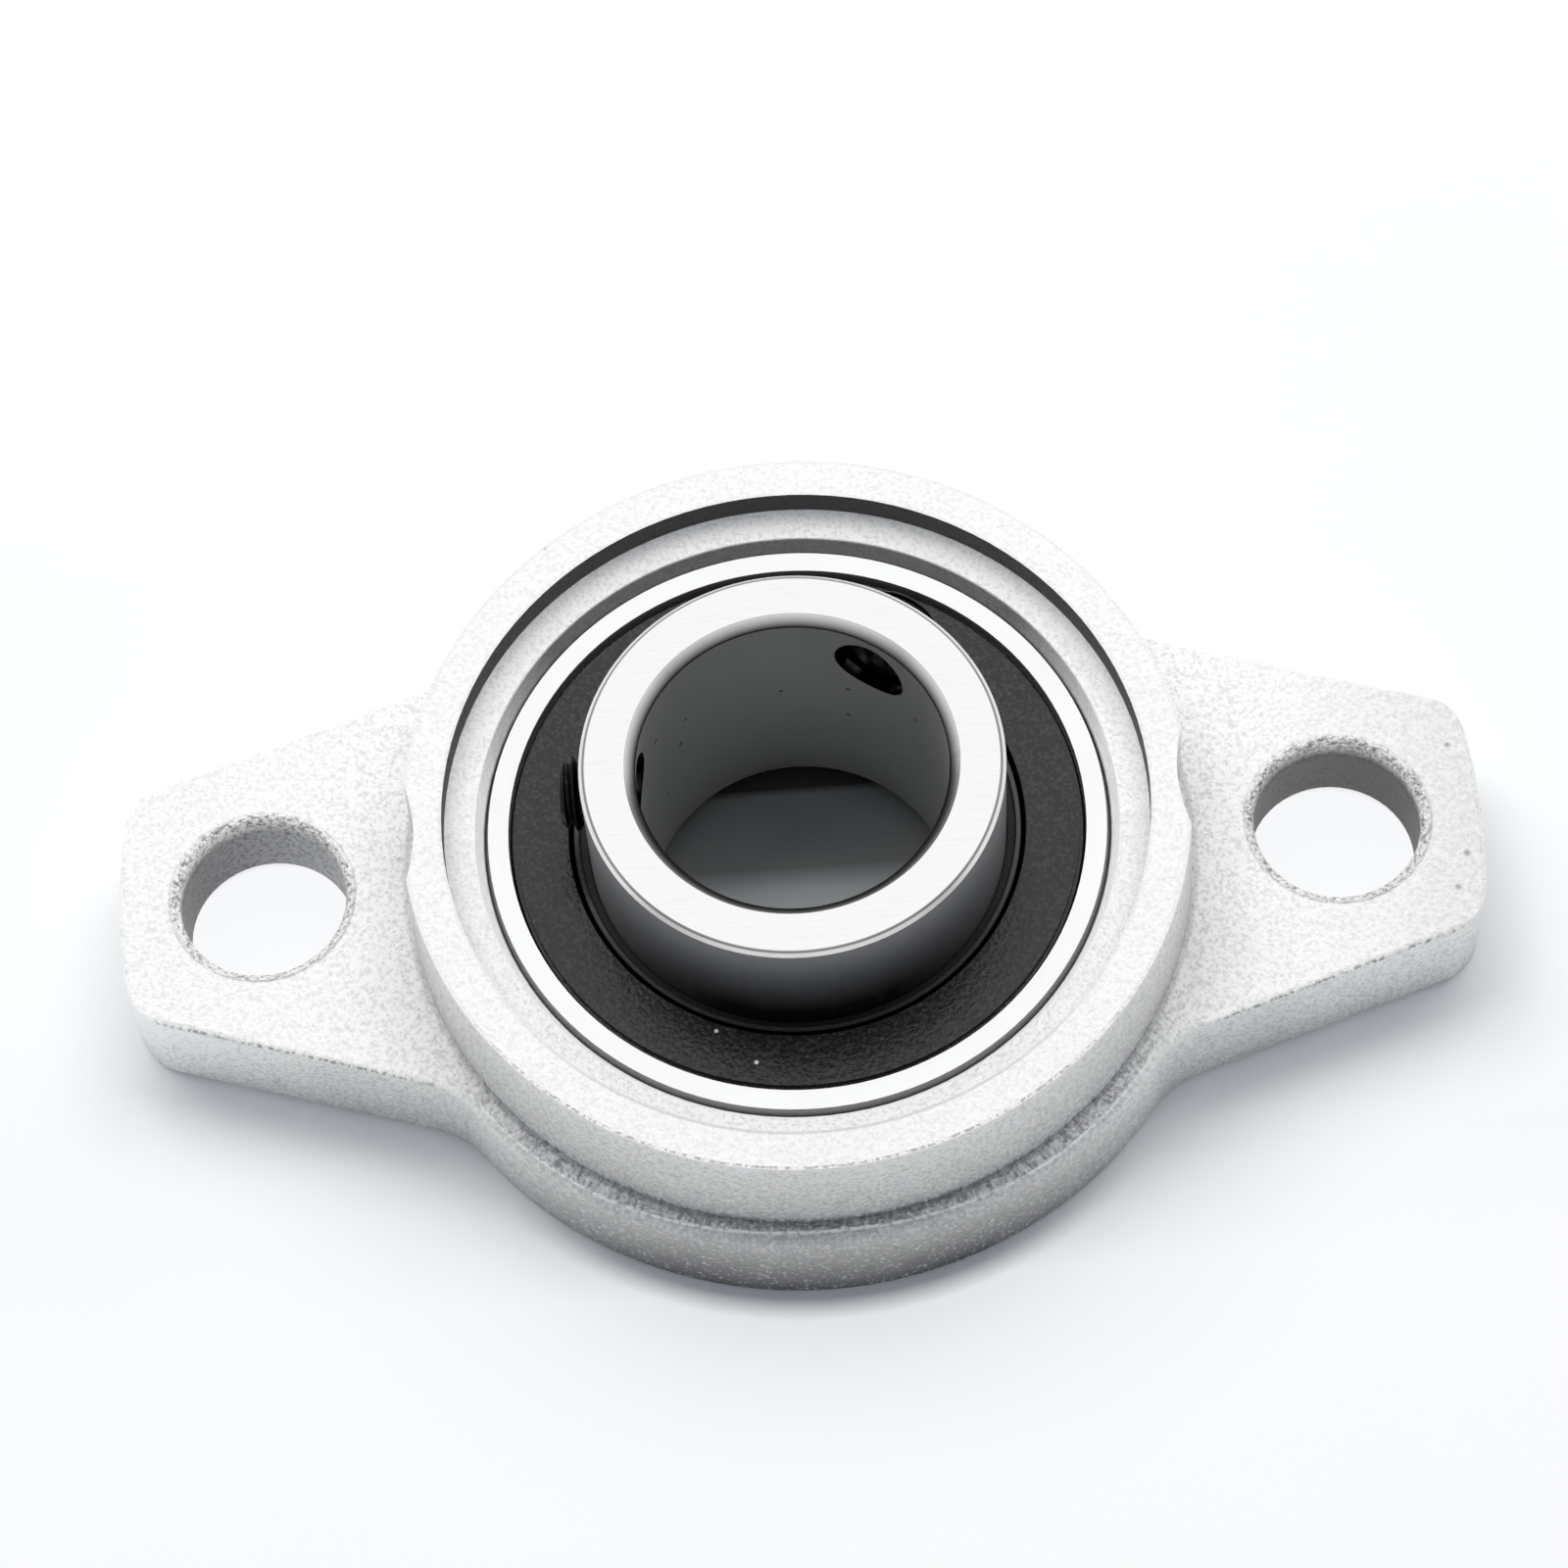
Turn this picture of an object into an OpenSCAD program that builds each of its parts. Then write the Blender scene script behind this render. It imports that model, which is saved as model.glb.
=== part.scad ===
// Two-bolt flange bearing unit: a die-cast housing that holds a self-aligning ball bearing insert.
// Z is the shaft axis, Z = 0 is the mounting face, X runs through the two bolt holes. Millimetres.

/* [Housing flange] */
// thickness of the flange
flange_t = 8; // [6:0.5:9]
// width of the flange around the boss rim
foot_w = 2; // [1.5:0.1:3.5]
// distance between the two bolt holes
bolt_spacing = 71; // [70:0.5:76]
// distance from the middle of a bolt hole to the end of its ear
ear_margin = 9.5; // [9:0.25:11]
// diameter of the bolt holes
bolt_hole_d = 11; // [9:0.5:11.5]
// rounding of the bolt hole rims at the front
hole_rim_r = 0.75; // [0.4:0.05:1]
// chamfer of the bolt holes at the back
hole_back_chamfer = 1.6; // [0.5:0.1:2]
// angle between an ear's long edge and the X axis
ear_angle = 18; // [15:1:20]
// distance of an ear's long edge from the shaft axis
ear_edge = 21.35; // [20.5:0.25:22]
// rounding of an ear's corners in plan
ear_corner_r = 4.2; // [2:0.1:5]
// hollow rounding between an ear and the round middle
ear_fillet_r = 6; // [4:0.5:8]
// rounding of the outer edges of the flange
edge_r = 0.5; // [0.3:0.05:0.8]

/* [Housing boss] */
// height of the boss rim above the mounting face
boss_h = 16; // [15:0.25:18]
// width of the boss rim
rim_w = 2.6; // [2.4:0.1:3]
// draft of the boss wall
boss_draft = 2.5; // [0:0.25:3]
// diameter of the washer relief around each bolt
relief_d = 21.6; // [20:0.2:23]
// width of the cast ledge between the rim and the bearing
ledge_w = 1.9; // [1.2:0.1:2.2]
// depth of the recess inside the rim
recess_depth = 2; // [1:0.25:2.25]
// fall of the cast ledge towards the bearing
ledge_drop = 0.5; // [0:0.1:0.6]
// amount by which the turned mouth is smaller than the bearing in radius
mouth_lip = 0.05; // [0.02:0.01:0.2]
// depth of the turned mouth in front of the bearing
mouth_depth = 1.2; // [0.8:0.1:1.6]
// depth of the turned mouth at the back
rear_mouth_depth = 1.7; // [1.2:0.1:2]
// height of the bearing centre above the mounting face
seat_h = 7; // [6.8:0.1:7.2]

/* [Bearing rings] */
// thickness of the outer ring at its shoulders
outer_wall = 3.6; // [3.4:0.1:4]
// width of the outer ring
outer_ring_w = 12; // [11.8:0.1:12.6]
// diameter of the shaft bore
bore_d = 20; // [19:0.1:20.5]
// outside diameter of the inner ring
inner_ring_d = 27.2; // [27:0.1:27.6]
// length of the inner ring
inner_ring_l = 21; // [20:0.5:24]
// chamfer at the front mouth of the bore
bore_chamfer = 0.7; // [0.3:0.1:1]
// chamfer on the outer edges of the inner ring
ring_chamfer = 0.3; // [0.1:0.05:0.5]

/* [Balls and cage] */
// diameter of the balls
ball_d = 6.35; // [6:0.05:6.5]
// gap between the shoulders of the two rings
race_gap = 3.8; // [3.6:0.1:4]
// radius of the ball tracks as a share of the ball diameter
track_share = 0.52; // [0.515:0.005:0.53]
// thickness of the cage strip
cage_t = 0.5; // [0.4:0.05:0.6]
// radial width of the cage strip
cage_w = 2.2; // [2:0.1:2.4]
// diameter of the cage rivets
rivet_d = 1; // [0.8:0.05:1.1]
// diameter of the rivet heads
rivet_head_d = 1.8; // [1.6:0.05:2]
// height of the rivet heads
rivet_head_h = 0.4; // [0.3:0.05:0.5]

/* [Seals] */
// depth of the seal face below the outer ring face
seal_sunk = 0.3; // [0.2:0.05:0.4]
// width of the outer ring's shoulder behind a seal
shoulder_w = 1.4; // [1.3:0.05:1.6]
// depth of the groove that holds the rim of a seal
seal_groove_depth = 0.45; // [0.35:0.05:0.6]
// gap between the grained face of a seal and the outer ring
seal_face_gap = 0.45; // [0.35:0.05:0.6]
// width of the lip between the grained face of a seal and the inner ring
lip_w = 1.275; // [1.1:0.025:1.4]
// width of the groove between the lip and the grained face
lip_groove_w = 0.32; // [0.25:0.01:0.4]
// width of the ridge that carries the lip
lip_ridge_w = 0.3; // [0.2:0.02:0.35]
// thickness of the steel stiffener in a seal
stiffener_t = 0.4; // [0.3:0.05:0.45]

/* [Set screws] */
// diameter of the set screws
screw_d = 5; // [4:0.1:5.2]
// length of the set screws
screw_l = 4; // [3.4:0.1:4.4]
// distance of the screws from the front end of the inner ring
screw_inset = 4; // [3.4:0.1:4.5]
// bearing of the first screw, anticlockwise from X
screw_bearing = 56.5; // [0:0.5:180]
// angle between the two screws
screw_apart = 120; // [90:5:180]
// how far the screws stand out of the inner ring when slack
screw_proud = 1.3; // [0.8:0.1:1.5]
// width over flats of the hex socket
socket_af = 2.5; // [2:0.1:2.6]
// depth of the hex socket
socket_depth = 1.8; // [1.4:0.1:2]

/* [Fits] */
// clearance between the outer ring and its seat
seat_fit = 0.03; // [0.02:0.01:0.08]
// clearance of the balls in their tracks
ball_fit = 0.05; // [0.04:0.01:0.08]
// clearance of the balls in the cage pockets
pocket_fit = 0.12; // [0.08:0.01:0.2]
// clearance of the seal lips on the inner ring
lip_fit = 0.06; // [0.04:0.01:0.1]
// clearance of the set screws in their threaded holes
thread_fit = 0.05; // [0.03:0.01:0.08]
// clearance of parts that are pressed, riveted or bonded together
joint_fit = 0.02; // [0.01:0.01:0.04]

/* [Hidden] */
$fn = 96;
ball_count = 9;
over = 1;

// radii of the bearing and its seat, from the inner ring outwards
bore_r = bore_d / 2;
inner_r = inner_ring_d / 2;
pitch_r = inner_r + race_gap / 2;
land_r = inner_r + race_gap;
insert_r = land_r + outer_wall;
seat_r = insert_r + seat_fit;
mouth_r = insert_r - mouth_lip;
recess_r = insert_r + ledge_w;
boss_r = recess_r + rim_w;
boss_foot_r = boss_r + (boss_h - flange_t) * tan(boss_draft);
disc_r = boss_r + foot_w;

// flange
bolt_x = bolt_spacing / 2;
ear_end_r = bolt_x + ear_margin;
flange_l = 2 * ear_end_r;

// plan of an ear: edge directions, corner centre and centre of the hollow rounding
blend = 0.02;
web_share = 0.8;
web_w = 12;
edge_n = [sin(ear_angle), cos(ear_angle)];
edge_t = [cos(ear_angle), -sin(ear_angle)];
corner_along = sqrt(pow(ear_end_r - ear_corner_r, 2) - pow(ear_edge - ear_corner_r, 2));
corner_c = (ear_edge - ear_corner_r) * edge_n + corner_along * edge_t;
corner_end = ear_edge * edge_n + corner_along * edge_t;
fillet_off = ear_fillet_r - blend;
fillet_along = sqrt(pow(disc_r + fillet_off, 2) - pow(ear_edge + fillet_off, 2));
fillet_c = (ear_edge + fillet_off) * edge_n + fillet_along * edge_t;
fillet_line = ear_edge * edge_n + fillet_along * edge_t;
fillet_disc = fillet_c * disc_r / (disc_r + fillet_off);

// heights of the bearing seat
ledge_h = boss_h - recess_depth;
mouth_h = ledge_h - ledge_drop;
seat_top = mouth_h - mouth_depth;
seat_top_r = sqrt(pow(seat_r, 2) - pow(seat_top - seat_h, 2));
seat_low_r = sqrt(pow(seat_r, 2) - pow(seat_h - rear_mouth_depth, 2));
slot_play = 0.2;
slot_step = 0.12;
slot_w = outer_ring_w + 2 * slot_play;
slot_r = seat_r + slot_step;

// rings and balls, measured from the bearing centre
outer_half = outer_ring_w / 2;
inner_rear = -outer_half;
inner_front = inner_rear + inner_ring_l;
bore_rear_chamfer = 0.5;
ball_r = ball_d / 2;
track_r = ball_d * track_share;
inner_track_c = pitch_r - ball_r - ball_fit + track_r;
outer_track_c = pitch_r + ball_r + ball_fit - track_r;

// seals, measured from the bearing centre
seal_seat_r = land_r + shoulder_w;
seal_face_r = seal_seat_r - seal_face_gap;
seal_groove_r = seal_seat_r + seal_groove_depth;
rim_sunk = 1;
rim_h = 0.65;
rim_fit = 0.05;
step_low = 0.2;
step_high = 0.35;
lip_groove_depth = 0.5;
ridge_sunk = 0.2;
ridge_slope = 0.15;
lip_sunk = 0.75;
lip_t = 0.2;
seal_groove_top = outer_half - rim_sunk;
seal_groove_low = seal_groove_top - rim_h;
seal_face_z = outer_half - seal_sunk;
seal_under_z = seal_groove_low + 2 * rim_fit;
rim_r = seal_groove_r - rim_fit;
step_r = (seal_face_r + seal_seat_r) / 2;
hub_r = inner_r + lip_w;
lip_groove_r = hub_r - lip_groove_w;
ridge_r = lip_groove_r - lip_ridge_w;
lip_r = inner_r + lip_fit;
stiffener_in_r = hub_r + 2 * rim_fit;
stiffener_out_r = seal_face_r - 4 * rim_fit;

// cage and set screws
cage_in_r = pitch_r - cage_w / 2;
cage_out_r = pitch_r + cage_w / 2;
pocket_r = ball_r + pocket_fit;
ball_step = 360 / ball_count;
screw_z = inner_front - screw_inset;
screw_outer_r = inner_r + screw_proud;
screw_inner_r = screw_outer_r - screw_l;
screw_r = screw_d / 2 - thread_fit;
cup_depth = 0.45;
cup_share = 0.55;
point_chamfer = 0.6;
end_chamfer = 0.3;

casting = [0.80, 0.80, 0.78];
ground_steel = [0.86, 0.87, 0.88];
rubber = [0.10, 0.10, 0.11];
strip_steel = [0.62, 0.63, 0.65];
black_steel = [0.14, 0.14, 0.15];

// half section of a flange with rounded edges and its wall at r
module edge_section(r) {
    square([r - edge_r, flange_t]);
    translate([0, edge_r]) square([r, flange_t - 2 * edge_r]);
    translate([r - edge_r, edge_r]) circle(edge_r);
    translate([r - edge_r, flange_t - edge_r]) circle(edge_r);
}

// the same section a little larger all round, so that it rounds edges and leaves the faces alone
module edge_cutter(r) {
    grow = edge_r + blend;
    translate([0, -blend]) square([r + blend - grow, flange_t + 2 * blend]);
    translate([0, grow - blend]) square([r + blend, flange_t + 2 * blend - 2 * grow]);
    translate([r + blend - grow, grow - blend]) circle(grow);
    translate([r + blend - grow, flange_t + blend - grow]) circle(grow);
}

module ear_plan() {
    root = ear_edge / cos(ear_angle);
    intersection() {
        circle(ear_end_r);
        polygon([[0, 0], [2 * corner_c[0], -2 * corner_c[1]], 2 * corner_c]);
    }
    polygon([
        [0, -root],
        [corner_end[0], -corner_end[1]],
        [corner_c[0], -corner_c[1]],
        corner_c,
        corner_end,
        [0, root]]);
    translate(corner_c) circle(ear_corner_r + blend);
    translate([corner_c[0], -corner_c[1]]) circle(ear_corner_r + blend);
}

// block that ends at an ear's long edge and rounds it
module edge_block(side) {
    rotate(side * (90 - ear_angle))
        translate([0, flange_l, 0])
            rotate([90, 0, 0])
                linear_extrude(height = 2 * flange_l) {
                    edge_cutter(ear_edge);
                    translate([-flange_l, -blend]) square([flange_l + over, flange_t + 2 * blend]);
                }
}

// ear with rounded end and long edges
module ear() {
    intersection() {
        linear_extrude(height = flange_t) ear_plan();
        rotate_extrude() edge_cutter(ear_end_r);
        edge_block(1);
        edge_block(-1);
    }
}

// hollow rounding between an ear and the disc
module ear_web() {
    reach = ear_fillet_r + web_w;
    intersection() {
        linear_extrude(height = flange_t)
            difference() {
                polygon([fillet_line, fillet_c, fillet_disc, web_share * fillet_disc, web_share * fillet_line]);
                translate(fillet_c) circle(ear_fillet_r);
            }
        translate([fillet_c[0], fillet_c[1], 0])
            rotate_extrude()
                translate([reach, 0]) mirror([1, 0]) edge_cutter(web_w);
    }
}

// cut for a bolt hole with its rounded front rim and its chamfer at the back
module hole_cut() {
    r = bolt_hole_d / 2;
    rotate_extrude() {
        polygon([
            [0, -over],
            [r + hole_back_chamfer + over, -over],
            [r, hole_back_chamfer],
            [r, flange_t + over],
            [0, flange_t + over]]);
        difference() {
            translate([0, flange_t - hole_rim_r]) square([r + hole_rim_r, hole_rim_r + over]);
            translate([r + hole_rim_r, flange_t - hole_rim_r]) circle(hole_rim_r + blend);
        }
    }
}

module flange() {
    rotate_extrude() edge_section(disc_r);
    for (side = [0, 180])
        rotate(side)
            difference() {
                union() {
                    ear();
                    ear_web();
                    mirror([0, 1, 0]) ear_web();
                }
                translate([bolt_x, 0, 0]) hole_cut();
            }
}

// raised boss, hollowed where the bolt washers turn
module boss() {
    difference() {
        rotate_extrude()
            polygon([[0, over], [boss_foot_r, over], [boss_foot_r, flange_t], [boss_r, boss_h], [0, boss_h]]);
        for (side = [-1, 1])
            translate([side * bolt_x, 0, flange_t]) cylinder(d = relief_d, h = boss_h);
    }
}

// ball-shaped seat with its turned mouths and the recess behind the rim
module seat_cavity() {
    rotate_extrude()
        intersection() {
            union() {
                translate([0, seat_h]) circle(seat_r);
                polygon([
                    [0, seat_top],
                    [seat_top_r, seat_top],
                    [mouth_r, mouth_h],
                    [recess_r, ledge_h],
                    [recess_r, boss_h + over],
                    [0, boss_h + over]]);
                polygon([
                    [0, rear_mouth_depth],
                    [seat_low_r, rear_mouth_depth],
                    [mouth_r, 0],
                    [mouth_r, -over],
                    [0, -over]]);
            }
            translate([0, -over]) square([2 * recess_r, boss_h + 2 * over]);
        }
}

// slots at the back through which the outer ring goes in edgewise before it is turned flat
module loading_slots() {
    intersection() {
        translate([0, 0, -over]) cylinder(r = slot_r, h = seat_h + over);
        translate([-disc_r, -slot_w / 2, -over]) cube([2 * disc_r, slot_w, seat_h + 2 * over]);
    }
}

module housing() {
    color(casting)
        difference() {
            union() {
                flange();
                boss();
            }
            seat_cavity();
            loading_slots();
        }
}

module outer_ring() {
    color(ground_steel)
        translate([0, 0, seat_h])
            rotate_extrude()
                difference() {
                    intersection() {
                        circle(insert_r);
                        translate([land_r, -outer_half]) square([insert_r, outer_ring_w]);
                    }
                    translate([outer_track_c, 0]) circle(track_r);
                    for (side = [0, 1])
                        mirror([0, side])
                            polygon([
                                [0, seal_groove_low],
                                [seal_groove_r, seal_groove_low],
                                [seal_groove_r, seal_groove_top],
                                [seal_seat_r, seal_groove_top],
                                [seal_seat_r, outer_half + over],
                                [0, outer_half + over]]);
                }
}

module inner_ring() {
    color(ground_steel)
        translate([0, 0, seat_h])
            difference() {
                rotate_extrude()
                    difference() {
                        polygon([
                            [bore_r + bore_rear_chamfer, inner_rear],
                            [inner_r - ring_chamfer, inner_rear],
                            [inner_r, inner_rear + ring_chamfer],
                            [inner_r, inner_front - ring_chamfer],
                            [inner_r - ring_chamfer, inner_front],
                            [bore_r + bore_chamfer, inner_front],
                            [bore_r, inner_front - bore_chamfer],
                            [bore_r, inner_rear + bore_rear_chamfer]]);
                        translate([inner_track_c, 0]) circle(track_r);
                    }
                for (i = [0, 1])
                    rotate(screw_bearing + i * screw_apart)
                        translate([bore_r - 2 * over, 0, screw_z])
                            rotate([0, 90, 0]) cylinder(d = screw_d, h = inner_r - bore_r + 4 * over);
            }
}

// rubber ring with its rim in the outer ring's groove and its lip on the inner ring
module seal() {
    color(rubber)
        rotate_extrude()
            polygon([
                [rim_r, seal_groove_low + rim_fit],
                [rim_r, seal_groove_top - rim_fit],
                [seal_seat_r - rim_fit, seal_groove_top - rim_fit],
                [step_r, seal_groove_top + step_low],
                [step_r, seal_groove_top + step_high],
                [seal_face_r, seal_groove_top + step_high],
                [seal_face_r, seal_face_z],
                [hub_r, seal_face_z],
                [hub_r, seal_face_z - lip_groove_depth],
                [lip_groove_r, seal_face_z - lip_groove_depth],
                [lip_groove_r, seal_face_z - ridge_sunk],
                [ridge_r, seal_face_z - ridge_sunk],
                [ridge_r - ridge_slope, seal_face_z - lip_groove_depth],
                [lip_r, seal_face_z - lip_sunk],
                [lip_r, seal_face_z - lip_sunk - lip_t],
                [ridge_r, seal_under_z],
                [stiffener_in_r - joint_fit, seal_under_z],
                [stiffener_in_r - joint_fit, seal_under_z + stiffener_t + joint_fit],
                [stiffener_out_r + joint_fit, seal_under_z + stiffener_t + joint_fit],
                [stiffener_out_r + joint_fit, seal_groove_low + rim_fit]]);
}

module front_seal() {
    translate([0, 0, seat_h]) seal();
}

module rear_seal() {
    translate([0, 0, seat_h]) mirror([0, 0, 1]) seal();
}

// flat steel washer bonded to the inner side of the rubber
module stiffener() {
    color(strip_steel)
        translate([0, 0, seal_under_z])
            difference() {
                cylinder(r = stiffener_out_r, h = stiffener_t);
                translate([0, 0, -over]) cylinder(r = stiffener_in_r, h = stiffener_t + 2 * over);
            }
}

module front_stiffener() {
    translate([0, 0, seat_h]) stiffener();
}

module rear_stiffener() {
    translate([0, 0, seat_h]) mirror([0, 0, 1]) stiffener();
}

// one half of the pressed strip cage: flat bridges with a ball-shaped pocket around each ball
module cage_half() {
    color(strip_steel)
        difference() {
            intersection() {
                union() {
                    cylinder(r = cage_out_r + over, h = cage_t);
                    for (i = [1:ball_count])
                        rotate((i - 1) * ball_step) translate([pitch_r, 0, 0]) sphere(pocket_r + cage_t);
                }
                difference() {
                    cylinder(r = cage_out_r, h = ball_d);
                    translate([0, 0, -over]) cylinder(r = cage_in_r, h = ball_d + 2 * over);
                }
            }
            for (i = [1:ball_count]) {
                rotate((i - 1) * ball_step) translate([pitch_r, 0, 0]) sphere(pocket_r);
                rotate((i - 0.5) * ball_step)
                    translate([pitch_r, 0, -over]) cylinder(d = rivet_d + 2 * joint_fit, h = cage_t + 2 * over);
            }
        }
}

module front_cage() {
    translate([0, 0, seat_h]) cage_half();
}

module rear_cage() {
    translate([0, 0, seat_h]) mirror([0, 0, 1]) cage_half();
}

// rivets through the bridges, with a domed head on each side
module cage_rivets() {
    dome_r = (pow(rivet_head_d / 2, 2) + pow(rivet_head_h, 2)) / (2 * rivet_head_h);
    color(strip_steel)
        for (i = [1:ball_count])
            rotate((i - 0.5) * ball_step)
                translate([pitch_r, 0, seat_h])
                    rotate_extrude() {
                        translate([0, -cage_t]) square([rivet_d / 2, 2 * cage_t]);
                        for (side = [0, 1])
                            mirror([0, side])
                                intersection() {
                                    translate([0, cage_t + rivet_head_h - dome_r]) circle(dome_r);
                                    translate([0, cage_t]) square([rivet_head_d, rivet_head_h + over]);
                                }
                    }
}

module ball(i) {
    color(ground_steel)
        rotate((i - 1) * ball_step) translate([pitch_r, 0, seat_h]) sphere(ball_r);
}

// headless screw with a hex socket outside and a hollow cup point towards the shaft
module set_screw(i) {
    socket_r = socket_af / sqrt(3);
    cup_r = screw_r * cup_share;
    color(black_steel)
        rotate(screw_bearing + (i - 1) * screw_apart)
            translate([screw_inner_r, 0, seat_h + screw_z])
                rotate([0, 90, 0])
                    difference() {
                        rotate_extrude()
                            polygon([
                                [0, cup_depth],
                                [cup_r, 0],
                                [screw_r - point_chamfer, 0],
                                [screw_r, point_chamfer],
                                [screw_r, screw_l - end_chamfer],
                                [screw_r - end_chamfer, screw_l],
                                [0, screw_l]]);
                        translate([0, 0, screw_l - socket_depth])
                            cylinder(r = socket_r, h = socket_depth + over, $fn = 6);
                    }
}

housing();
outer_ring();
inner_ring();
front_seal();
rear_seal();
front_stiffener();
rear_stiffener();
front_cage();
rear_cage();
cage_rivets();
for (i = [1:ball_count])
    ball(i);
set_screw(1);  // set_screw_1
set_screw(2);  // set_screw_2
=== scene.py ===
import math

import bpy
from mathutils import Matrix, Vector


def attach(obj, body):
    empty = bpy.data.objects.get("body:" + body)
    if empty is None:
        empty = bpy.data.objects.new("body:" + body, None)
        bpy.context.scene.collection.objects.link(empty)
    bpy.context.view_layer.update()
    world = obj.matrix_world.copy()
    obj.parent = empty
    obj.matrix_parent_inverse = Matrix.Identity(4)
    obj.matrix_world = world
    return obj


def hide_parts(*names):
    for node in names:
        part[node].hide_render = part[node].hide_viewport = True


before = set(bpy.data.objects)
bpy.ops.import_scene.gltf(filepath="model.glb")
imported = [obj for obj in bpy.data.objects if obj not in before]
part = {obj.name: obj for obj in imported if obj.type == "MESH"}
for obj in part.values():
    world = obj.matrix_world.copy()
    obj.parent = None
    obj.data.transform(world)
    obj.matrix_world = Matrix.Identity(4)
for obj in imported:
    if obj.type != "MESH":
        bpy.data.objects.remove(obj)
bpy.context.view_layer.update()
bpy.ops.object.select_all(action="DESELECT")


# Housing
# The casting that is bolted down: a flat two-eared flange with a round boss.
# Zinc alloy, pressure die-cast, trimmed and then blasted, which leaves a pale sandy skin.
# The bearing is slipped in through two slots at the back and turned into its ball-shaped seat.


def linear(hex_colour):
    """An sRGB hex colour as the linear RGBA that a shader socket takes."""
    parts = [int(hex_colour[i : i + 2], 16) / 255 for i in (1, 3, 5)]
    return [c / 12.92 if c <= 0.04045 else ((c + 0.055) / 1.055) ** 2.4 for c in parts] + [1.0]


def add(finish, kind, values=(), links=(), **settings):
    """One node in a material: its settings, the values on its sockets, and the outputs that feed them."""
    made = finish.node_tree.nodes.new("ShaderNode" + kind)
    for name, value in settings.items():
        setattr(made, name, value)
    for socket, value in dict(values).items():
        made.inputs[socket].default_value = value
    for socket, (source, output) in dict(links).items():
        finish.node_tree.links.new(source.outputs[output], made.inputs[socket])
    return made


def finish_named(name):
    """A new material with no nodes yet, named for its stuff and how its surface was made."""
    made = bpy.data.materials.new(name)
    made.use_nodes = True
    made.node_tree.nodes.clear()
    return made


def overlap(finish, share, *others):
    """The places that several masks have in common: the product of their first outputs."""
    for other in others:
        share = add(finish, "Math", links={0: (share, 0), 1: (other, 0)}, operation="MULTIPLY")
    return share


def apart(finish, source, output, mark):
    """How far a value lies from a mark, on either side of it."""
    gap = add(finish, "Math", {1: mark}, {0: (source, output)}, operation="SUBTRACT")
    return add(finish, "Math", links={0: (gap, "Value")}, operation="ABSOLUTE")


def dress(finish, *names):
    """Gives pieces of the part a finish in place of the plain one that they came with."""
    for name in names:
        part[name].data.materials.clear()
        part[name].data.materials.append(finish)


boss_rim_r = 0.0255
boss_foot_r = 0.02585
boss_top_z = 0.016
recess_r = 0.0229
recess_low_z = 0.0132
flange_top_z = 0.008
ear_root_x = 0.0235
hole_x = 0.0355
hole_rim_r = 0.00625
mouth_r = 0.02095
mouth_low_z = 0.01235
ledge_edge_r = 0.02648
cast_face = linear("#F7F7F6")
# The wall colour is partly the zinc's own grey and partly painted shade.
wall_grey_and_shade = linear("#D4D3D1")
cast_pit = linear("#6F7072")
cast_worn = linear("#F4F4F3")

# Blasted zinc die casting: no mirror at all, a sandy sparkle of 0.3 mm grains, faces paler than
# the drafted walls that the blast only grazes and that carry painted shade, small dark pores, and
# edges rubbed bright and painted with highlights.
zinc = finish_named("blasted_zinc_casting")
place = add(zinc, "TexCoord")
axes = add(zinc, "SeparateXYZ", links={"Vector": (place, "Normal")})
spot = add(zinc, "SeparateXYZ", links={"Vector": (place, "Object")})
flat = add(zinc, "VectorMath", {1: (1, 1, 0)}, {0: (place, "Object")}, operation="MULTIPLY")
radius = add(zinc, "VectorMath", links={0: (flat, "Vector")}, operation="LENGTH")

# Grains of blasting grit, 0.3 mm apart, over shallow dents of 0.9 mm.
grit = add(zinc, "TexNoise", {"Scale": 1 / 0.0003, "Detail": 2.5, "Roughness": 0.65},
           {"Vector": (place, "Object")})
dents = add(zinc, "TexNoise", {"Scale": 1 / 0.0009, "Detail": 2.0, "Roughness": 0.5},
            {"Vector": (place, "Object")})
clouds = add(zinc, "TexNoise", {"Scale": 1 / 0.007, "Detail": 3.0, "Roughness": 0.55},
             {"Vector": (place, "Object")})

# Where the metal flowed round the bolt holes and under the boss the skin is torn and coarse.
folded = add(zinc, "VectorMath", links={0: (flat, "Vector")}, operation="ABSOLUTE")
from_hole = add(zinc, "VectorMath", {1: (hole_x, 0, 0)}, {0: (folded, "Vector")}, operation="DISTANCE")
hole_rim = add(zinc, "MapRange", {"From Min": hole_rim_r, "From Max": hole_rim_r - 0.0003},
               {"Value": (from_hole, "Value")})
below_rim = add(zinc, "MapRange", {"From Min": flange_top_z - 0.0028, "From Max": flange_top_z - 0.0008},
                {"Value": (spot, "Z")})
torn_rim = overlap(zinc, hole_rim, below_rim)
sideways = add(zinc, "SeparateXYZ", links={"Vector": (folded, "Vector")})
ledge_more = add(zinc, "MapRange", {"From Min": 0.002, "From Max": 0.014, "To Max": 0.0005},
                 {"Value": (sideways, "X")})
ledge_reach = add(zinc, "Math", links={0: (radius, "Value"), 1: (ledge_more, "Result")},
                  operation="SUBTRACT")
ledge_in = add(zinc, "MapRange", {"From Min": ledge_edge_r, "From Max": ledge_edge_r - 0.0001},
               {"Value": (ledge_reach, "Value")})
ledge_off = apart(zinc, spot, "Z", flange_top_z)
ledge_flat = add(zinc, "MapRange", {"From Min": 0.0008, "From Max": 0.0004},
                 {"Value": (ledge_off, "Value")})
off_ears = add(zinc, "MapRange", {"From Min": ear_root_x, "From Max": ear_root_x - 0.0045},
               {"Value": (sideways, "X")})
torn_ledge = overlap(zinc, ledge_in, ledge_flat, off_ears)
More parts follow.
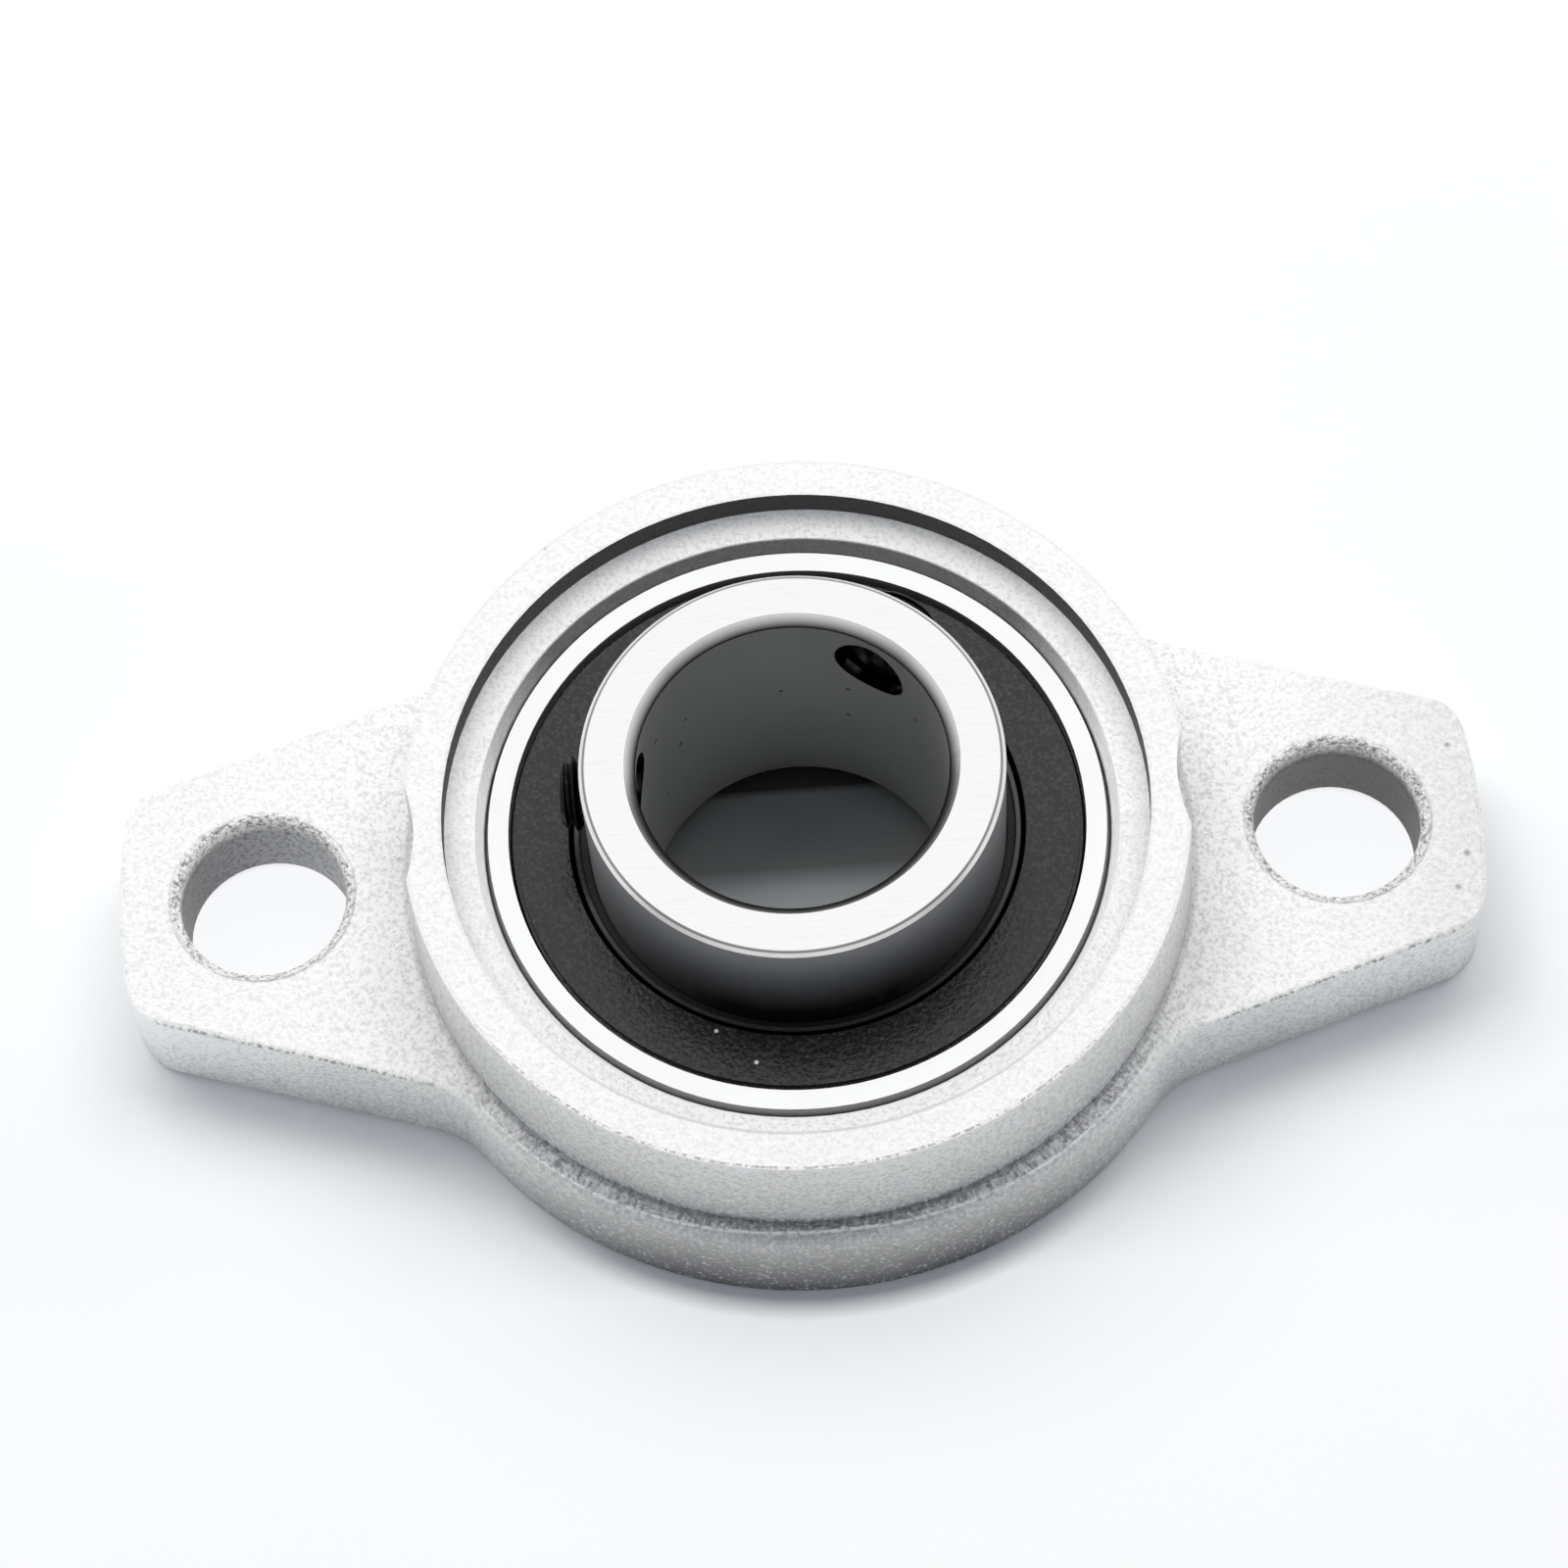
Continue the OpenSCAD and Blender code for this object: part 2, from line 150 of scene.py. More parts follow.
ledge_part = add(zinc, "Math", {1: 0.5}, {0: (torn_ledge, "Value")}, operation="MULTIPLY")
torn = add(zinc, "Math", links={0: (torn_rim, "Value"), 1: (ledge_part, "Value")}, operation="MAXIMUM")

# Faces that look along the shaft are paler than the walls.
upward = add(zinc, "Math", links={0: (axes, "Z")}, operation="ABSOLUTE")
face_share = add(zinc, "MapRange", {"From Min": 0.35, "From Max": 0.92},
                 {"Value": (upward, "Value")}, interpolation_type="SMOOTHSTEP")

# Walls carry painted shade that darkens them towards their foot, most of all low on the round front,
# and painted light that lightens them towards the ear ends.
up_wall = add(zinc, "Math", {1: flange_top_z}, {0: (spot, "Z")}, operation="MODULO")
side_shade_fall = add(zinc, "MapRange", {"From Max": flange_top_z, "To Min": 0.98, "To Max": 1.45},
                {"Value": (up_wall, "Value")})
front_shade_fall = add(zinc, "MapRange", {"From Max": flange_top_z, "To Min": 0.04, "To Max": 0.93},
                 {"Value": (up_wall, "Value")})
round_front_shade = add(zinc, "MapRange", {"From Min": -0.017, "From Max": -0.026}, {"Value": (spot, "Y")})
low_wall = add(zinc, "MapRange", {"From Min": flange_top_z + 0.0001, "From Max": flange_top_z - 0.0001},
               {"Value": (spot, "Z")})
low_front_shade = overlap(zinc, round_front_shade, low_wall)
fall = add(zinc, "Mix",
           links={0: (low_front_shade, "Value"), 2: (side_shade_fall, "Result"), 3: (front_shade_fall, "Result")},
           data_type="FLOAT")
ear_end_light = add(zinc, "MapRange", {"From Min": 0.030, "From Max": 0.043, "To Min": 1.0, "To Max": 1.4},
              {"Value": (sideways, "X")})
wall_light_level = overlap(zinc, fall, ear_end_light)
wall_shade_tone = add(zinc, "Mix", {0: 1.0, 6: wall_grey_and_shade}, {7: (wall_light_level, "Value")}, data_type="RGBA",
                blend_type="MULTIPLY")
skin = add(zinc, "Mix", {7: cast_face}, {0: (face_share, "Result"), 6: (wall_shade_tone, 2)}, data_type="RGBA")

# The ledge round the boss ends in a rolled edge painted grey as shade, darker in front than at the sides.
rolled_out = add(zinc, "MapRange", {"From Min": ledge_edge_r, "From Max": ledge_edge_r + 0.0001},
                 {"Value": (ledge_reach, "Value")})
rolled_here = overlap(zinc, rolled_out, off_ears)
rolled_share = overlap(zinc, rolled_here, face_share)
ledge_lit_side = add(zinc, "MapRange", {"From Min": 0.003, "From Max": 0.015}, {"Value": (sideways, "X")})
rolled_shade_tone = add(zinc, "Mix", {6: linear("#C8C8C8"), 7: linear("#D6D6D6")},
                  {0: (ledge_lit_side, "Result")}, data_type="RGBA")
skin = add(zinc, "Mix", links={0: (rolled_share, "Value"), 6: (skin, 2), 7: (rolled_shade_tone, 2)},
           data_type="RGBA")

# The narrow ledge round the boss is dragged into short strands, 0.3 mm apart, with painted shade
# that makes them darkest in front.
around = add(zinc, "Math", links={0: (spot, "Y"), 1: (spot, "X")}, operation="ARCTAN2")
arc = add(zinc, "Math", {1: boss_foot_r}, {0: (around, "Value")}, operation="MULTIPLY")
drag = add(zinc, "Math", {1: 0.3}, {0: (radius, "Value")}, operation="MULTIPLY")
strand_at = add(zinc, "CombineXYZ", links={"X": (arc, "Value"), "Y": (drag, "Value")})
strands = add(zinc, "TexNoise", {"Scale": 1 / 0.0003, "Detail": 2.0, "Roughness": 0.6},
              {"Vector": (strand_at, "Vector")})
strand_shade_tone = add(zinc, "Mix", {6: linear("#A8A9AB"), 7: linear("#DEDEDF")},
                  {0: (ledge_lit_side, "Result")}, data_type="RGBA")
ledged = add(zinc, "Mix", links={0: (torn_ledge, "Value"), 6: (skin, 2), 7: (strand_shade_tone, 2)},
             data_type="RGBA")
strand_crest = add(zinc, "MapRange", {"From Min": 0.52, "From Max": 0.66, "To Max": 0.75},
                   {"Value": (strands, "Fac")})
crest_share = overlap(zinc, strand_crest, torn_ledge)
strand_gap = add(zinc, "MapRange", {"From Min": 0.47, "From Max": 0.34, "To Max": 0.7},
                 {"Value": (strands, "Fac")})
gap_share = overlap(zinc, strand_gap, torn_ledge)

# The ledge's outer edge carries a broken white line, partly rubbed and partly a painted highlight.
line_off = apart(zinc, ledge_reach, "Value", ledge_edge_r)
line_near = add(zinc, "MapRange", {"From Min": 0.00016, "From Max": 0.00008, "To Max": 0.8},
                {"Value": (line_off, "Value")})
line_break = add(zinc, "MapRange", {"From Min": 0.36, "From Max": 0.52}, {"Value": (grit, "Fac")})
line_share = overlap(zinc, line_near, ledge_flat, off_ears, line_break)

# Slow clouds of grey lie over the whole casting, and painted shade makes the end of one ear greyer.
cloud_share = add(zinc, "MapRange", {"From Min": 0.35, "From Max": 0.75, "To Max": 0.1},
                  {"Value": (clouds, "Fac")})
far_ear_shade = add(zinc, "MapRange", {"From Min": 0.033, "From Max": 0.044, "To Max": 0.5},
              {"Value": (spot, "X")})

# The sloping floor of the recess is painted whiter, as painted light against the recess wall's shade.
slope_in = add(zinc, "MapRange", {"From Min": recess_r, "From Max": recess_r - 0.0001, "To Max": 0.8},
               {"Value": (radius, "Value")})
slope_up = add(zinc, "Math", {1: recess_low_z}, {0: (spot, "Z")}, operation="GREATER_THAN")
slope_painted_light = overlap(zinc, slope_in, slope_up)

# Grit shows as dark and light grains, more of them close to the boss and where the skin is torn.
near_boss = add(zinc, "MapRange", {"From Min": 0.035, "From Max": 0.027, "To Min": 0.23, "To Max": 0.38},
                {"Value": (radius, "Value")})
on_flange = add(zinc, "MapRange", {"From Min": boss_top_z, "From Max": flange_top_z, "To Min": 0.2},
                {"Value": (spot, "Z"), "To Max": (near_boss, "Result")})
tear_depth = add(zinc, "MapRange", {"To Max": 0.85},
                 {"Value": (torn, "Value"), "To Min": (on_flange, "Result")})
dark_grit = add(zinc, "MapRange", {"From Min": 0.54, "From Max": 0.36}, {"Value": (grit, "Fac")})
wall_grain = add(zinc, "MapRange", {"To Min": 0.36, "To Max": 0.0}, {"Value": (face_share, "Result")})
grain_depth = add(zinc, "Math", links={0: (tear_depth, "Result"), 1: (wall_grain, "Result")},
                  operation="MAXIMUM")
dark_grain = overlap(zinc, dark_grit, grain_depth)
light_grain = add(zinc, "MapRange", {"From Min": 0.54, "From Max": 0.68, "To Max": 0.55},
                  {"Value": (grit, "Fac")})

# Gas pores 0.25 mm across, only in the patches that a slow noise picks out.
pores = add(zinc, "TexVoronoi", {"Scale": 1 / 0.0021}, {"Vector": (place, "Object")})
pore_patch = add(zinc, "MapRange", {"From Min": 0.62, "From Max": 0.68},
                 {"Value": (clouds, "Fac")})
pore_round = add(zinc, "MapRange", {"From Min": 0.13, "From Max": 0.07},
                 {"Value": (pores, "Distance")})
pore = overlap(zinc, pore_patch, pore_round)

# Four larger pits: three near the end of one ear, and one at the boss's foot.
for pit_x, pit_y, pit_r in ((0.04365, -0.0032, 0.0003), (0.0428, -0.0056, 0.00026),
                            (0.0433, 0.0048, 0.00024), (0.0256, -0.0029, 0.00014)):
    pit_off = add(zinc, "VectorMath", {1: (pit_x, pit_y, 0)}, {0: (flat, "Vector")}, operation="DISTANCE")
    pit = add(zinc, "MapRange", {"From Min": pit_r, "From Max": pit_r * 0.3, "To Max": 0.6},
              {"Value": (pit_off, "Value")})
    pore = add(zinc, "Math", links={0: (pore, "Value"), 1: (pit, "Result")}, operation="MAXIMUM")

# A dark line of painted shade in the corner round the boss's foot.
foot_off = apart(zinc, radius, "Value", boss_foot_r + 0.0001)
foot_far = add(zinc, "Math", links={0: (foot_off, "Value"), 1: (ledge_off, "Value")},
               operation="MAXIMUM")
foot_shade_depth = add(zinc, "MapRange", {"To Min": 0.25, "To Max": 0.38}, {"Value": (off_ears, "Result")})
foot_shade_share = add(zinc, "MapRange", {"From Min": 0.00036, "From Max": 0.0001},
                 {"Value": (foot_far, "Value"), "To Max": (foot_shade_depth, "Result")})

# The recess wall above the bearing is painted dark near its corner, as painted shade.
recess_off = apart(zinc, radius, "Value", recess_r)
recess_near = add(zinc, "MapRange", {"From Min": 0.0003, "From Max": 0.00015},
                  {"Value": (recess_off, "Value")})
recess_wall = add(zinc, "MapRange", {"From Min": 0.5, "From Max": 0.2}, {"Value": (upward, "Value")})
recess_shade_share = overlap(zinc, recess_near, recess_wall)

# A trimming burr draws a broken grey line along both edges of the rim, most of it in front.
burrs = []
burr_up = add(zinc, "Math", {1: boss_top_z - 0.0001}, {0: (spot, "Z")}, operation="GREATER_THAN")
burr_front = add(zinc, "MapRange", {"From Min": -0.012, "From Max": -0.02, "To Min": 0.25},
                 {"Value": (spot, "Y")})
for burr_r, burr_depth, burr_low, burr_full in ((boss_rim_r - 0.00014, 0.65, 0.46, 0.58),
                                                 (recess_r + 0.0001, 0.3, 0.1, 0.4)):
    burr_off = apart(zinc, radius, "Value", burr_r)
    burr_near = add(zinc, "MapRange", {"From Min": 0.00014, "From Max": 0.00006, "To Max": burr_depth},
                    {"Value": (burr_off, "Value")})
    burr_break = add(zinc, "MapRange", {"From Min": burr_low, "From Max": burr_full},
                     {"Value": (grit, "Fac")})
    burrs.append(overlap(zinc, burr_near, burr_up, burr_front, burr_break))

# Just below the outer edge of the rim the wall is lighter, partly rubbed and partly a painted highlight.
lip_high = add(zinc, "MapRange",
               {"From Min": boss_top_z - 0.0006, "From Max": boss_top_z - 0.0003, "To Max": 0.7},
               {"Value": (spot, "Z")})
lip_out = add(zinc, "Math", {1: boss_rim_r - 0.0005}, {0: (radius, "Value")}, operation="GREATER_THAN")
lip_wall = add(zinc, "MapRange", {"To Min": 1.0, "To Max": 0.0}, {"Value": (face_share, "Result")})
lip_break = add(zinc, "MapRange", {"From Min": 0.62, "From Max": 0.42}, {"Value": (dents, "Fac")})
lip_share = overlap(zinc, lip_high, lip_out, lip_wall, lip_break)

# All these marks lie over the skin as coats, from the lowest up.
coats = [(crest_share, linear("#F2F2F1")), (gap_share, linear("#6C6D6F")), (line_share, linear("#FFFFFF")),
         (cloud_share, linear("#D6D5D2")), (far_ear_shade, linear("#D6D6D4")), (slope_painted_light, linear("#FFFFFF")),
         (dark_grain, linear("#808184")), (light_grain, cast_face), (pore, cast_pit),
         (foot_shade_share, linear("#5C5D60")), (recess_shade_share, linear("#4A4A4B")),
         *((burr, linear("#77787B")) for burr in burrs), (lip_share, cast_worn)]
coated = ledged
for share, tone in coats:
    coated = add(zinc, "Mix", {7: tone}, {0: (share, 0), 6: (coated, 2)}, data_type="RGBA")

# The bolt holes' walls carry painted shade: grey, darker away from the boss, and darker in one ear
# than in the other.
shaft_in = add(zinc, "MapRange", {"From Min": hole_rim_r - 0.0002, "From Max": hole_rim_r - 0.0005},
               {"Value": (from_hole, "Value")})
shaft_low = add(zinc, "MapRange", {"From Min": flange_top_z - 0.0006, "From Max": flange_top_z - 0.0015},
                {"Value": (spot, "Z")})
shaft_share = overlap(zinc, shaft_in, shaft_low)
shaft_lit_side = add(zinc, "MapRange", {"From Min": hole_x - 0.0042, "From Max": hole_x + 0.0042},
                 {"Value": (sideways, "X")})
shaft_shade_tone = add(zinc, "Mix", {6: linear("#B4B5B8"), 7: linear("#626366")},
                 {0: (shaft_lit_side, "Result")}, data_type="RGBA")
shaft_grain = add(zinc, "Mix", {6: linear("#FFFFFF"), 7: linear("#8A8A8A")},
                  {0: (dark_grit, "Result")}, data_type="RGBA")
shaft_grey = add(zinc, "Mix", {0: 1.0}, {6: (shaft_shade_tone, 2), 7: (shaft_grain, 2)},
                 data_type="RGBA", blend_type="MULTIPLY")
shaft_light_level = add(zinc, "MapRange", {"From Min": -0.03, "From Max": 0.03, "To Min": 1.38, "To Max": 0.3},
                  {"Value": (spot, "X")})
shaft_grey = add(zinc, "Mix", {0: 1.0}, {6: (shaft_grey, 2), 7: (shaft_light_level, "Result")},
                 data_type="RGBA", blend_type="MULTIPLY")
shaft_part = add(zinc, "Math", {1: 0.8}, {0: (shaft_share, "Value")}, operation="MULTIPLY")
cored = add(zinc, "Mix", links={0: (shaft_part, "Value"), 6: (coated, 2), 7: (shaft_grey, 2)},
            data_type="RGBA")

# The turned mouth round the bearing is bare metal, with painted shade that darkens it the deeper
# it lies and towards the back.
mouth_in = add(zinc, "MapRange", {"From Min": mouth_r + 0.0001, "From Max": mouth_r - 0.00005},
               {"Value": (radius, "Value")})
mouth_up = add(zinc, "MapRange", {"From Min": flange_top_z - 0.0005, "From Max": flange_top_z + 0.0005},
               {"Value": (spot, "Z")})
mouth_share = overlap(zinc, mouth_in, mouth_up)
mouth_deep_shade = add(zinc, "MapRange", {"From Min": mouth_low_z, "From Max": mouth_low_z + 0.00025},
                 {"Value": (spot, "Z")})
mouth_back_shade = add(zinc, "MapRange", {"From Min": 0.004, "From Max": 0.014}, {"Value": (spot, "Y")})
mouth_metal = add(zinc, "Mix", {6: linear("#F4F4F3"), 7: linear("#757574")},
                  {0: (mouth_back_shade, "Result")}, data_type="RGBA")
mouth_shade_tone = add(zinc, "Mix", {6: linear("#1E1E1E")}, {0: (mouth_deep_shade, "Result"), 7: (mouth_metal, 2)},
                 data_type="RGBA")
mouthed = add(zinc, "Mix", links={0: (mouth_share, "Value"), 6: (cored, 2), 7: (mouth_shade_tone, 2)},
              data_type="RGBA")

# Rounded edges, the only places that look half up and half out, are bright in patches, partly rubbed
# and partly painted highlight.
edge_off = apart(zinc, upward, "Value", 0.5)
edge_near = add(zinc, "MapRange", {"From Min": 0.38, "From Max": 0.1},
                {"Value": (edge_off, "Value")})
kept_grey = add(zinc, "Math", links={0: (torn, "Value"), 1: (rolled_here, "Value")}, operation="MAXIMUM")
torn_free = add(zinc, "MapRange", {"To Min": 1.0, "To Max": 0.0}, {"Value": (kept_grey, "Value")})
edge_chips = add(zinc, "MapRange", {"From Min": 0.42, "From Max": 0.6}, {"Value": (dents, "Fac")})
mouth_free = add(zinc, "MapRange", {"To Min": 1.0, "To Max": 0.0}, {"Value": (mouth_share, "Value")})
edge_wear_and_highlight = overlap(zinc, edge_near, edge_chips, torn_free, mouth_free)
worn = add(zinc, "Mix", {7: cast_worn}, {0: (edge_wear_and_highlight, "Value"), 6: (mouthed, 2)},
           data_type="RGBA")

# Along the front of the ears the trimming has left a broken grey line below that edge.
trim_off = apart(zinc, axes, "Z", 0.66)
trim_near = add(zinc, "MapRange", {"From Min": 0.2, "From Max": 0.08, "To Max": 0.75},
                {"Value": (trim_off, "Value")})
trim_low = add(zinc, "Math", {1: flange_top_z}, {0: (spot, "Z")}, operation="LESS_THAN")
trim_ear = add(zinc, "MapRange", {"From Min": 0.024, "From Max": 0.027}, {"Value": (sideways, "X")})
trim_front = add(zinc, "MapRange", {"From Min": -0.0075, "From Max": -0.009}, {"Value": (spot, "Y")})
trim_break = add(zinc, "MapRange", {"From Min": 0.55, "From Max": 0.41}, {"Value": (grit, "Fac")})
trim_share = overlap(zinc, trim_near, trim_low, trim_ear, trim_front, trim_break)
worn = add(zinc, "Mix", {7: linear("#7C7D80")}, {0: (trim_share, "Value"), 6: (worn, 2)},
           data_type="RGBA")

# Dents, grit and pores stand in the relief, deepest where the skin is torn. The rounded lip of the
# turned mouth looks more upwards than the cone below it.
relief = add(zinc, "Math", {1: 0.9}, {0: (dents, "Fac"), 2: (grit, "Fac")},
             operation="MULTIPLY_ADD")
pitted = add(zinc, "Math", links={0: (relief, "Value"), 1: (pore, "Value")}, operation="SUBTRACT")
coarse = add(zinc, "MapRange", {"To Min": 1.0, "To Max": 2.6}, {"Value": (torn, "Value")})
skin_depth = add(zinc, "MapRange", {"To Min": 0.00009, "To Max": 0.00012},
                 {"Value": (face_share, "Result")})
rough_skin = overlap(zinc, pitted, coarse)
lip_lean = add(zinc, "Math", {1: 4.0}, {0: (mouth_share, "Value")}, operation="MULTIPLY")
lip_up = add(zinc, "CombineXYZ", links={"Z": (lip_lean, "Value")})
lip_sum = add(zinc, "VectorMath", links={0: (place, "Normal"), 1: (lip_up, "Vector")}, operation="ADD")
lip_way = add(zinc, "VectorMath", links={0: (lip_sum, "Vector")}, operation="NORMALIZE")
sanded = add(zinc, "Bump", {"Strength": 1.0},
             {"Height": (rough_skin, "Value"), "Distance": (skin_depth, "Result"),
              "Normal": (lip_way, "Vector")})
dull = add(zinc, "MapRange", {"From Min": 0.3, "From Max": 0.7, "To Min": 0.5, "To Max": 0.72},
           {"Value": (grit, "Fac")})
zinc_shader = add(zinc, "BsdfPrincipled", {"Metallic": 0.4},
                  {"Base Color": (worn, 2), "Roughness": (dull, "Result"), "Normal": (sanded, "Normal")})
add(zinc, "OutputMaterial", links={"Surface": (zinc_shader, "BSDF")})

dress(zinc, "housing")


# Outer ring
# The ball-shaped outer ring of the insert, which can tilt a little in the housing.
# Through-hardened bearing steel, turned, hardened, and ground on its faces, race and outside.
outer_face_z = 0.013
ring_steel = linear("#FFFFFE")
ring_shade = linear("#E0E1E2")

# Ground bearing steel: near-white mirror-grey with hair-fine rings of grinding marks, drawn
# at 0.12 mm because the real ones, near 0.01 mm, would not show, and small spots of handling.
ground_steel = finish_named("ground_bearing_steel")
place = add(ground_steel, "TexCoord")
spot = add(ground_steel, "SeparateXYZ", links={"Vector": (place, "Object")})
axes = add(ground_steel, "SeparateXYZ", links={"Vector": (place, "Normal")})
flat = add(ground_steel, "VectorMath", {1: (1, 1, 0)}, {0: (place, "Object")}, operation="MULTIPLY")
radius = add(ground_steel, "VectorMath", links={0: (flat, "Vector")}, operation="LENGTH")
around = add(ground_steel, "Math", links={0: (spot, "Y"), 1: (spot, "X")}, operation="ARCTAN2")
turn = add(ground_steel, "Math", {1: 0.0006}, {0: (around, "Value")}, operation="MULTIPLY")
track = add(ground_steel, "CombineXYZ",
            links={"X": (radius, "Value"), "Y": (turn, "Value"), "Z": (spot, "Z")})
marks = add(ground_steel, "TexNoise", {"Scale": 1 / 0.00012, "Detail": 2.0, "Roughness": 0.6},
            {"Vector": (track, "Vector")})
smears = add(ground_steel, "TexNoise", {"Scale": 1 / 0.005, "Detail": 3.0, "Roughness": 0.5},
             {"Vector": (place, "Object")})
mark_share = add(ground_steel, "MapRange", {"From Min": 0.4, "From Max": 0.75, "To Max": 0.12},
                 {"Value": (marks, "Fac")})
steel = add(ground_steel, "Mix", {6: ring_steel, 7: ring_shade}, {0: (mark_share, "Result")},
            data_type="RGBA")
smear_share = add(ground_steel, "MapRange", {"From Min": 0.45, "From Max": 0.8, "To Max": 0.12},
                  {"Value": (smears, "Fac")})
smeared = add(ground_steel, "Mix", {7: linear("#E6E4E0")}, {0: (smear_share, "Result"), 6: (steel, 2)},
              data_type="RGBA")
upward = add(ground_steel, "Math", links={0: (axes, "Z")}, operation="ABSOLUTE")
edge_off = apart(ground_steel, upward, "Value", 0.7)
edge_near = add(ground_steel, "MapRange", {"From Min": 0.12, "From Max": 0.04, "To Max": 0.6},
                {"Value": (edge_off, "Value")})
rubbed = add(ground_steel, "Mix", {7: linear("#FBFBFA")}, {0: (edge_near, "Result"), 6: (smeared, 2)},
             data_type="RGBA")
lined = add(ground_steel, "Bump", {"Strength": 0.25, "Distance": 0.000008}, {"Height": (marks, "Fac")})
gloss = add(ground_steel, "MapRange", {"From Min": 0.3, "From Max": 0.75, "To Min": 0.13, "To Max": 0.24},
            {"Value": (smears, "Fac")})

# The ball-shaped outside is only honed, so just below the face it scatters light and is no mirror.
corner_up = add(ground_steel, "MapRange",
                {"From Min": outer_face_z - 0.0011, "From Max": outer_face_z - 0.0007},
                {"Value": (spot, "Z")})
corner_side = add(ground_steel, "MapRange", {"From Min": 0.6, "From Max": 0.4}, {"Value": (upward, "Value")})
corner = overlap(ground_steel, corner_up, corner_side)
cornered = add(ground_steel, "Mix", {7: linear("#8A8A88")}, {0: (corner, "Value"), 6: (rubbed, 2)},
               data_type="RGBA")
mirror = add(ground_steel, "MapRange", {"To Min": 1.0, "To Max": 0.15}, {"Value": (corner, "Value")})
steel_shader = add(ground_steel, "BsdfPrincipled",
                   links={"Metallic": (mirror, "Result"), "Base Color": (cornered, 2),
                          "Roughness": (gloss, "Result"), "Normal": (lined, "Normal")})
add(ground_steel, "OutputMaterial", links={"Surface": (steel_shader, "BSDF")})

dress(ground_steel, "outer_ring")


# Balls
# Nine balls that roll between the two rings, kept apart by the cage.
# Chromium bearing steel, cold-headed, hardened, and lapped between plates to a mirror.

# Lapped chrome steel: a clean mirror with the faint haze and hairlines of running.
lapped_steel = finish_named("lapped_chrome_steel")
place = add(lapped_steel, "TexCoord")
haze = add(lapped_steel, "TexNoise", {"Scale": 1 / 0.0012, "Detail": 4.0, "Roughness": 0.6},
           {"Vector": (place, "Object")})
hairs = add(lapped_steel, "TexNoise", {"Scale": 1 / 0.0002, "Detail": 2.0}, {"Vector": (place, "Object")})
tone = add(lapped_steel, "Mix", {6: linear("#E4E5E7"), 7: linear("#C6C8CC")}, {0: (haze, "Fac")},
           data_type="RGBA")
sheen = add(lapped_steel, "MapRange", {"From Min": 0.3, "From Max": 0.7, "To Min": 0.05, "To Max": 0.13},
            {"Value": (haze, "Fac")})
scuffed = add(lapped_steel, "Bump", {"Strength": 0.15, "Distance": 0.000003}, {"Height": (hairs, "Fac")})
ball_shader = add(lapped_steel, "BsdfPrincipled", {"Metallic": 1.0},
                  {"Base Color": (tone, 2), "Roughness": (sheen, "Result"), "Normal": (scuffed, "Normal")})
add(lapped_steel, "OutputMaterial", links={"Surface": (ball_shader, "BSDF")})

dress(lapped_steel, *(f"ball_{number}" for number in range(1, 10)))


# Cage and rivets
# Two mirrored half cages hold the balls in cupped pockets, riveted together between them.
# Cold-rolled steel strip, blanked, pressed and barrel-tumbled; the rivets are soft steel wire.

# Pressed steel strip: grey and satin, with rolling lines 0.2 mm apart and tumbled bright spots.
pressed_strip = finish_named("pressed_steel_strip")
place = add(pressed_strip, "TexCoord")
along = add(pressed_strip, "Mapping", {"Scale": (1.0, 12.0, 1.0)}, {"Vector": (place, "Object")})
rolled = add(pressed_strip, "TexNoise", {"Scale": 1 / 0.0024, "Detail": 3.0, "Roughness": 0.6},
             {"Vector": (along, "Vector")})
tumbled = add(pressed_strip, "TexVoronoi", {"Scale": 1 / 0.0007}, {"Vector": (place, "Object")})
strip = add(pressed_strip, "Mix", {6: linear("#B4B6B9"), 7: linear("#8B8D91")}, {0: (rolled, "Fac")},
            data_type="RGBA")
bright = add(pressed_strip, "MapRange", {"From Min": 0.35, "From Max": 0.1, "To Max": 0.5},
             {"Value": (tumbled, "Distance")})
spotted = add(pressed_strip, "Mix", {7: linear("#D5D6D8")}, {0: (bright, "Result"), 6: (strip, 2)},
              data_type="RGBA")
satin = add(pressed_strip, "MapRange", {"To Min": 0.28, "To Max": 0.5}, {"Value": (rolled, "Fac")})
rolled_in = add(pressed_strip, "Bump", {"Strength": 0.3, "Distance": 0.00001}, {"Height": (rolled, "Fac")})
strip_shader = add(pressed_strip, "BsdfPrincipled", {"Metallic": 1.0},
                   {"Base Color": (spotted, 2), "Roughness": (satin, "Result"),
                    "Normal": (rolled_in, "Normal")})
add(pressed_strip, "OutputMaterial", links={"Surface": (strip_shader, "BSDF")})

dress(pressed_strip, "front_cage", "rear_cage", "cage_rivets", "front_stiffener", "rear_stiffener")


# Inner ring
# The long ring that the shaft passes through; its end stands out in front for the set screws.
# Bearing steel: bore honed, end face ground, outside left as turned, two holes drilled and tapped.
bore_r = 0.010
ring_top_z = 0.022
end_edge_r = 0.01331
screw_z = 0.018
screw_bearings = (56.5, 176.5)
tapped_r = 0.00252
honed = linear("#BEBEBE")

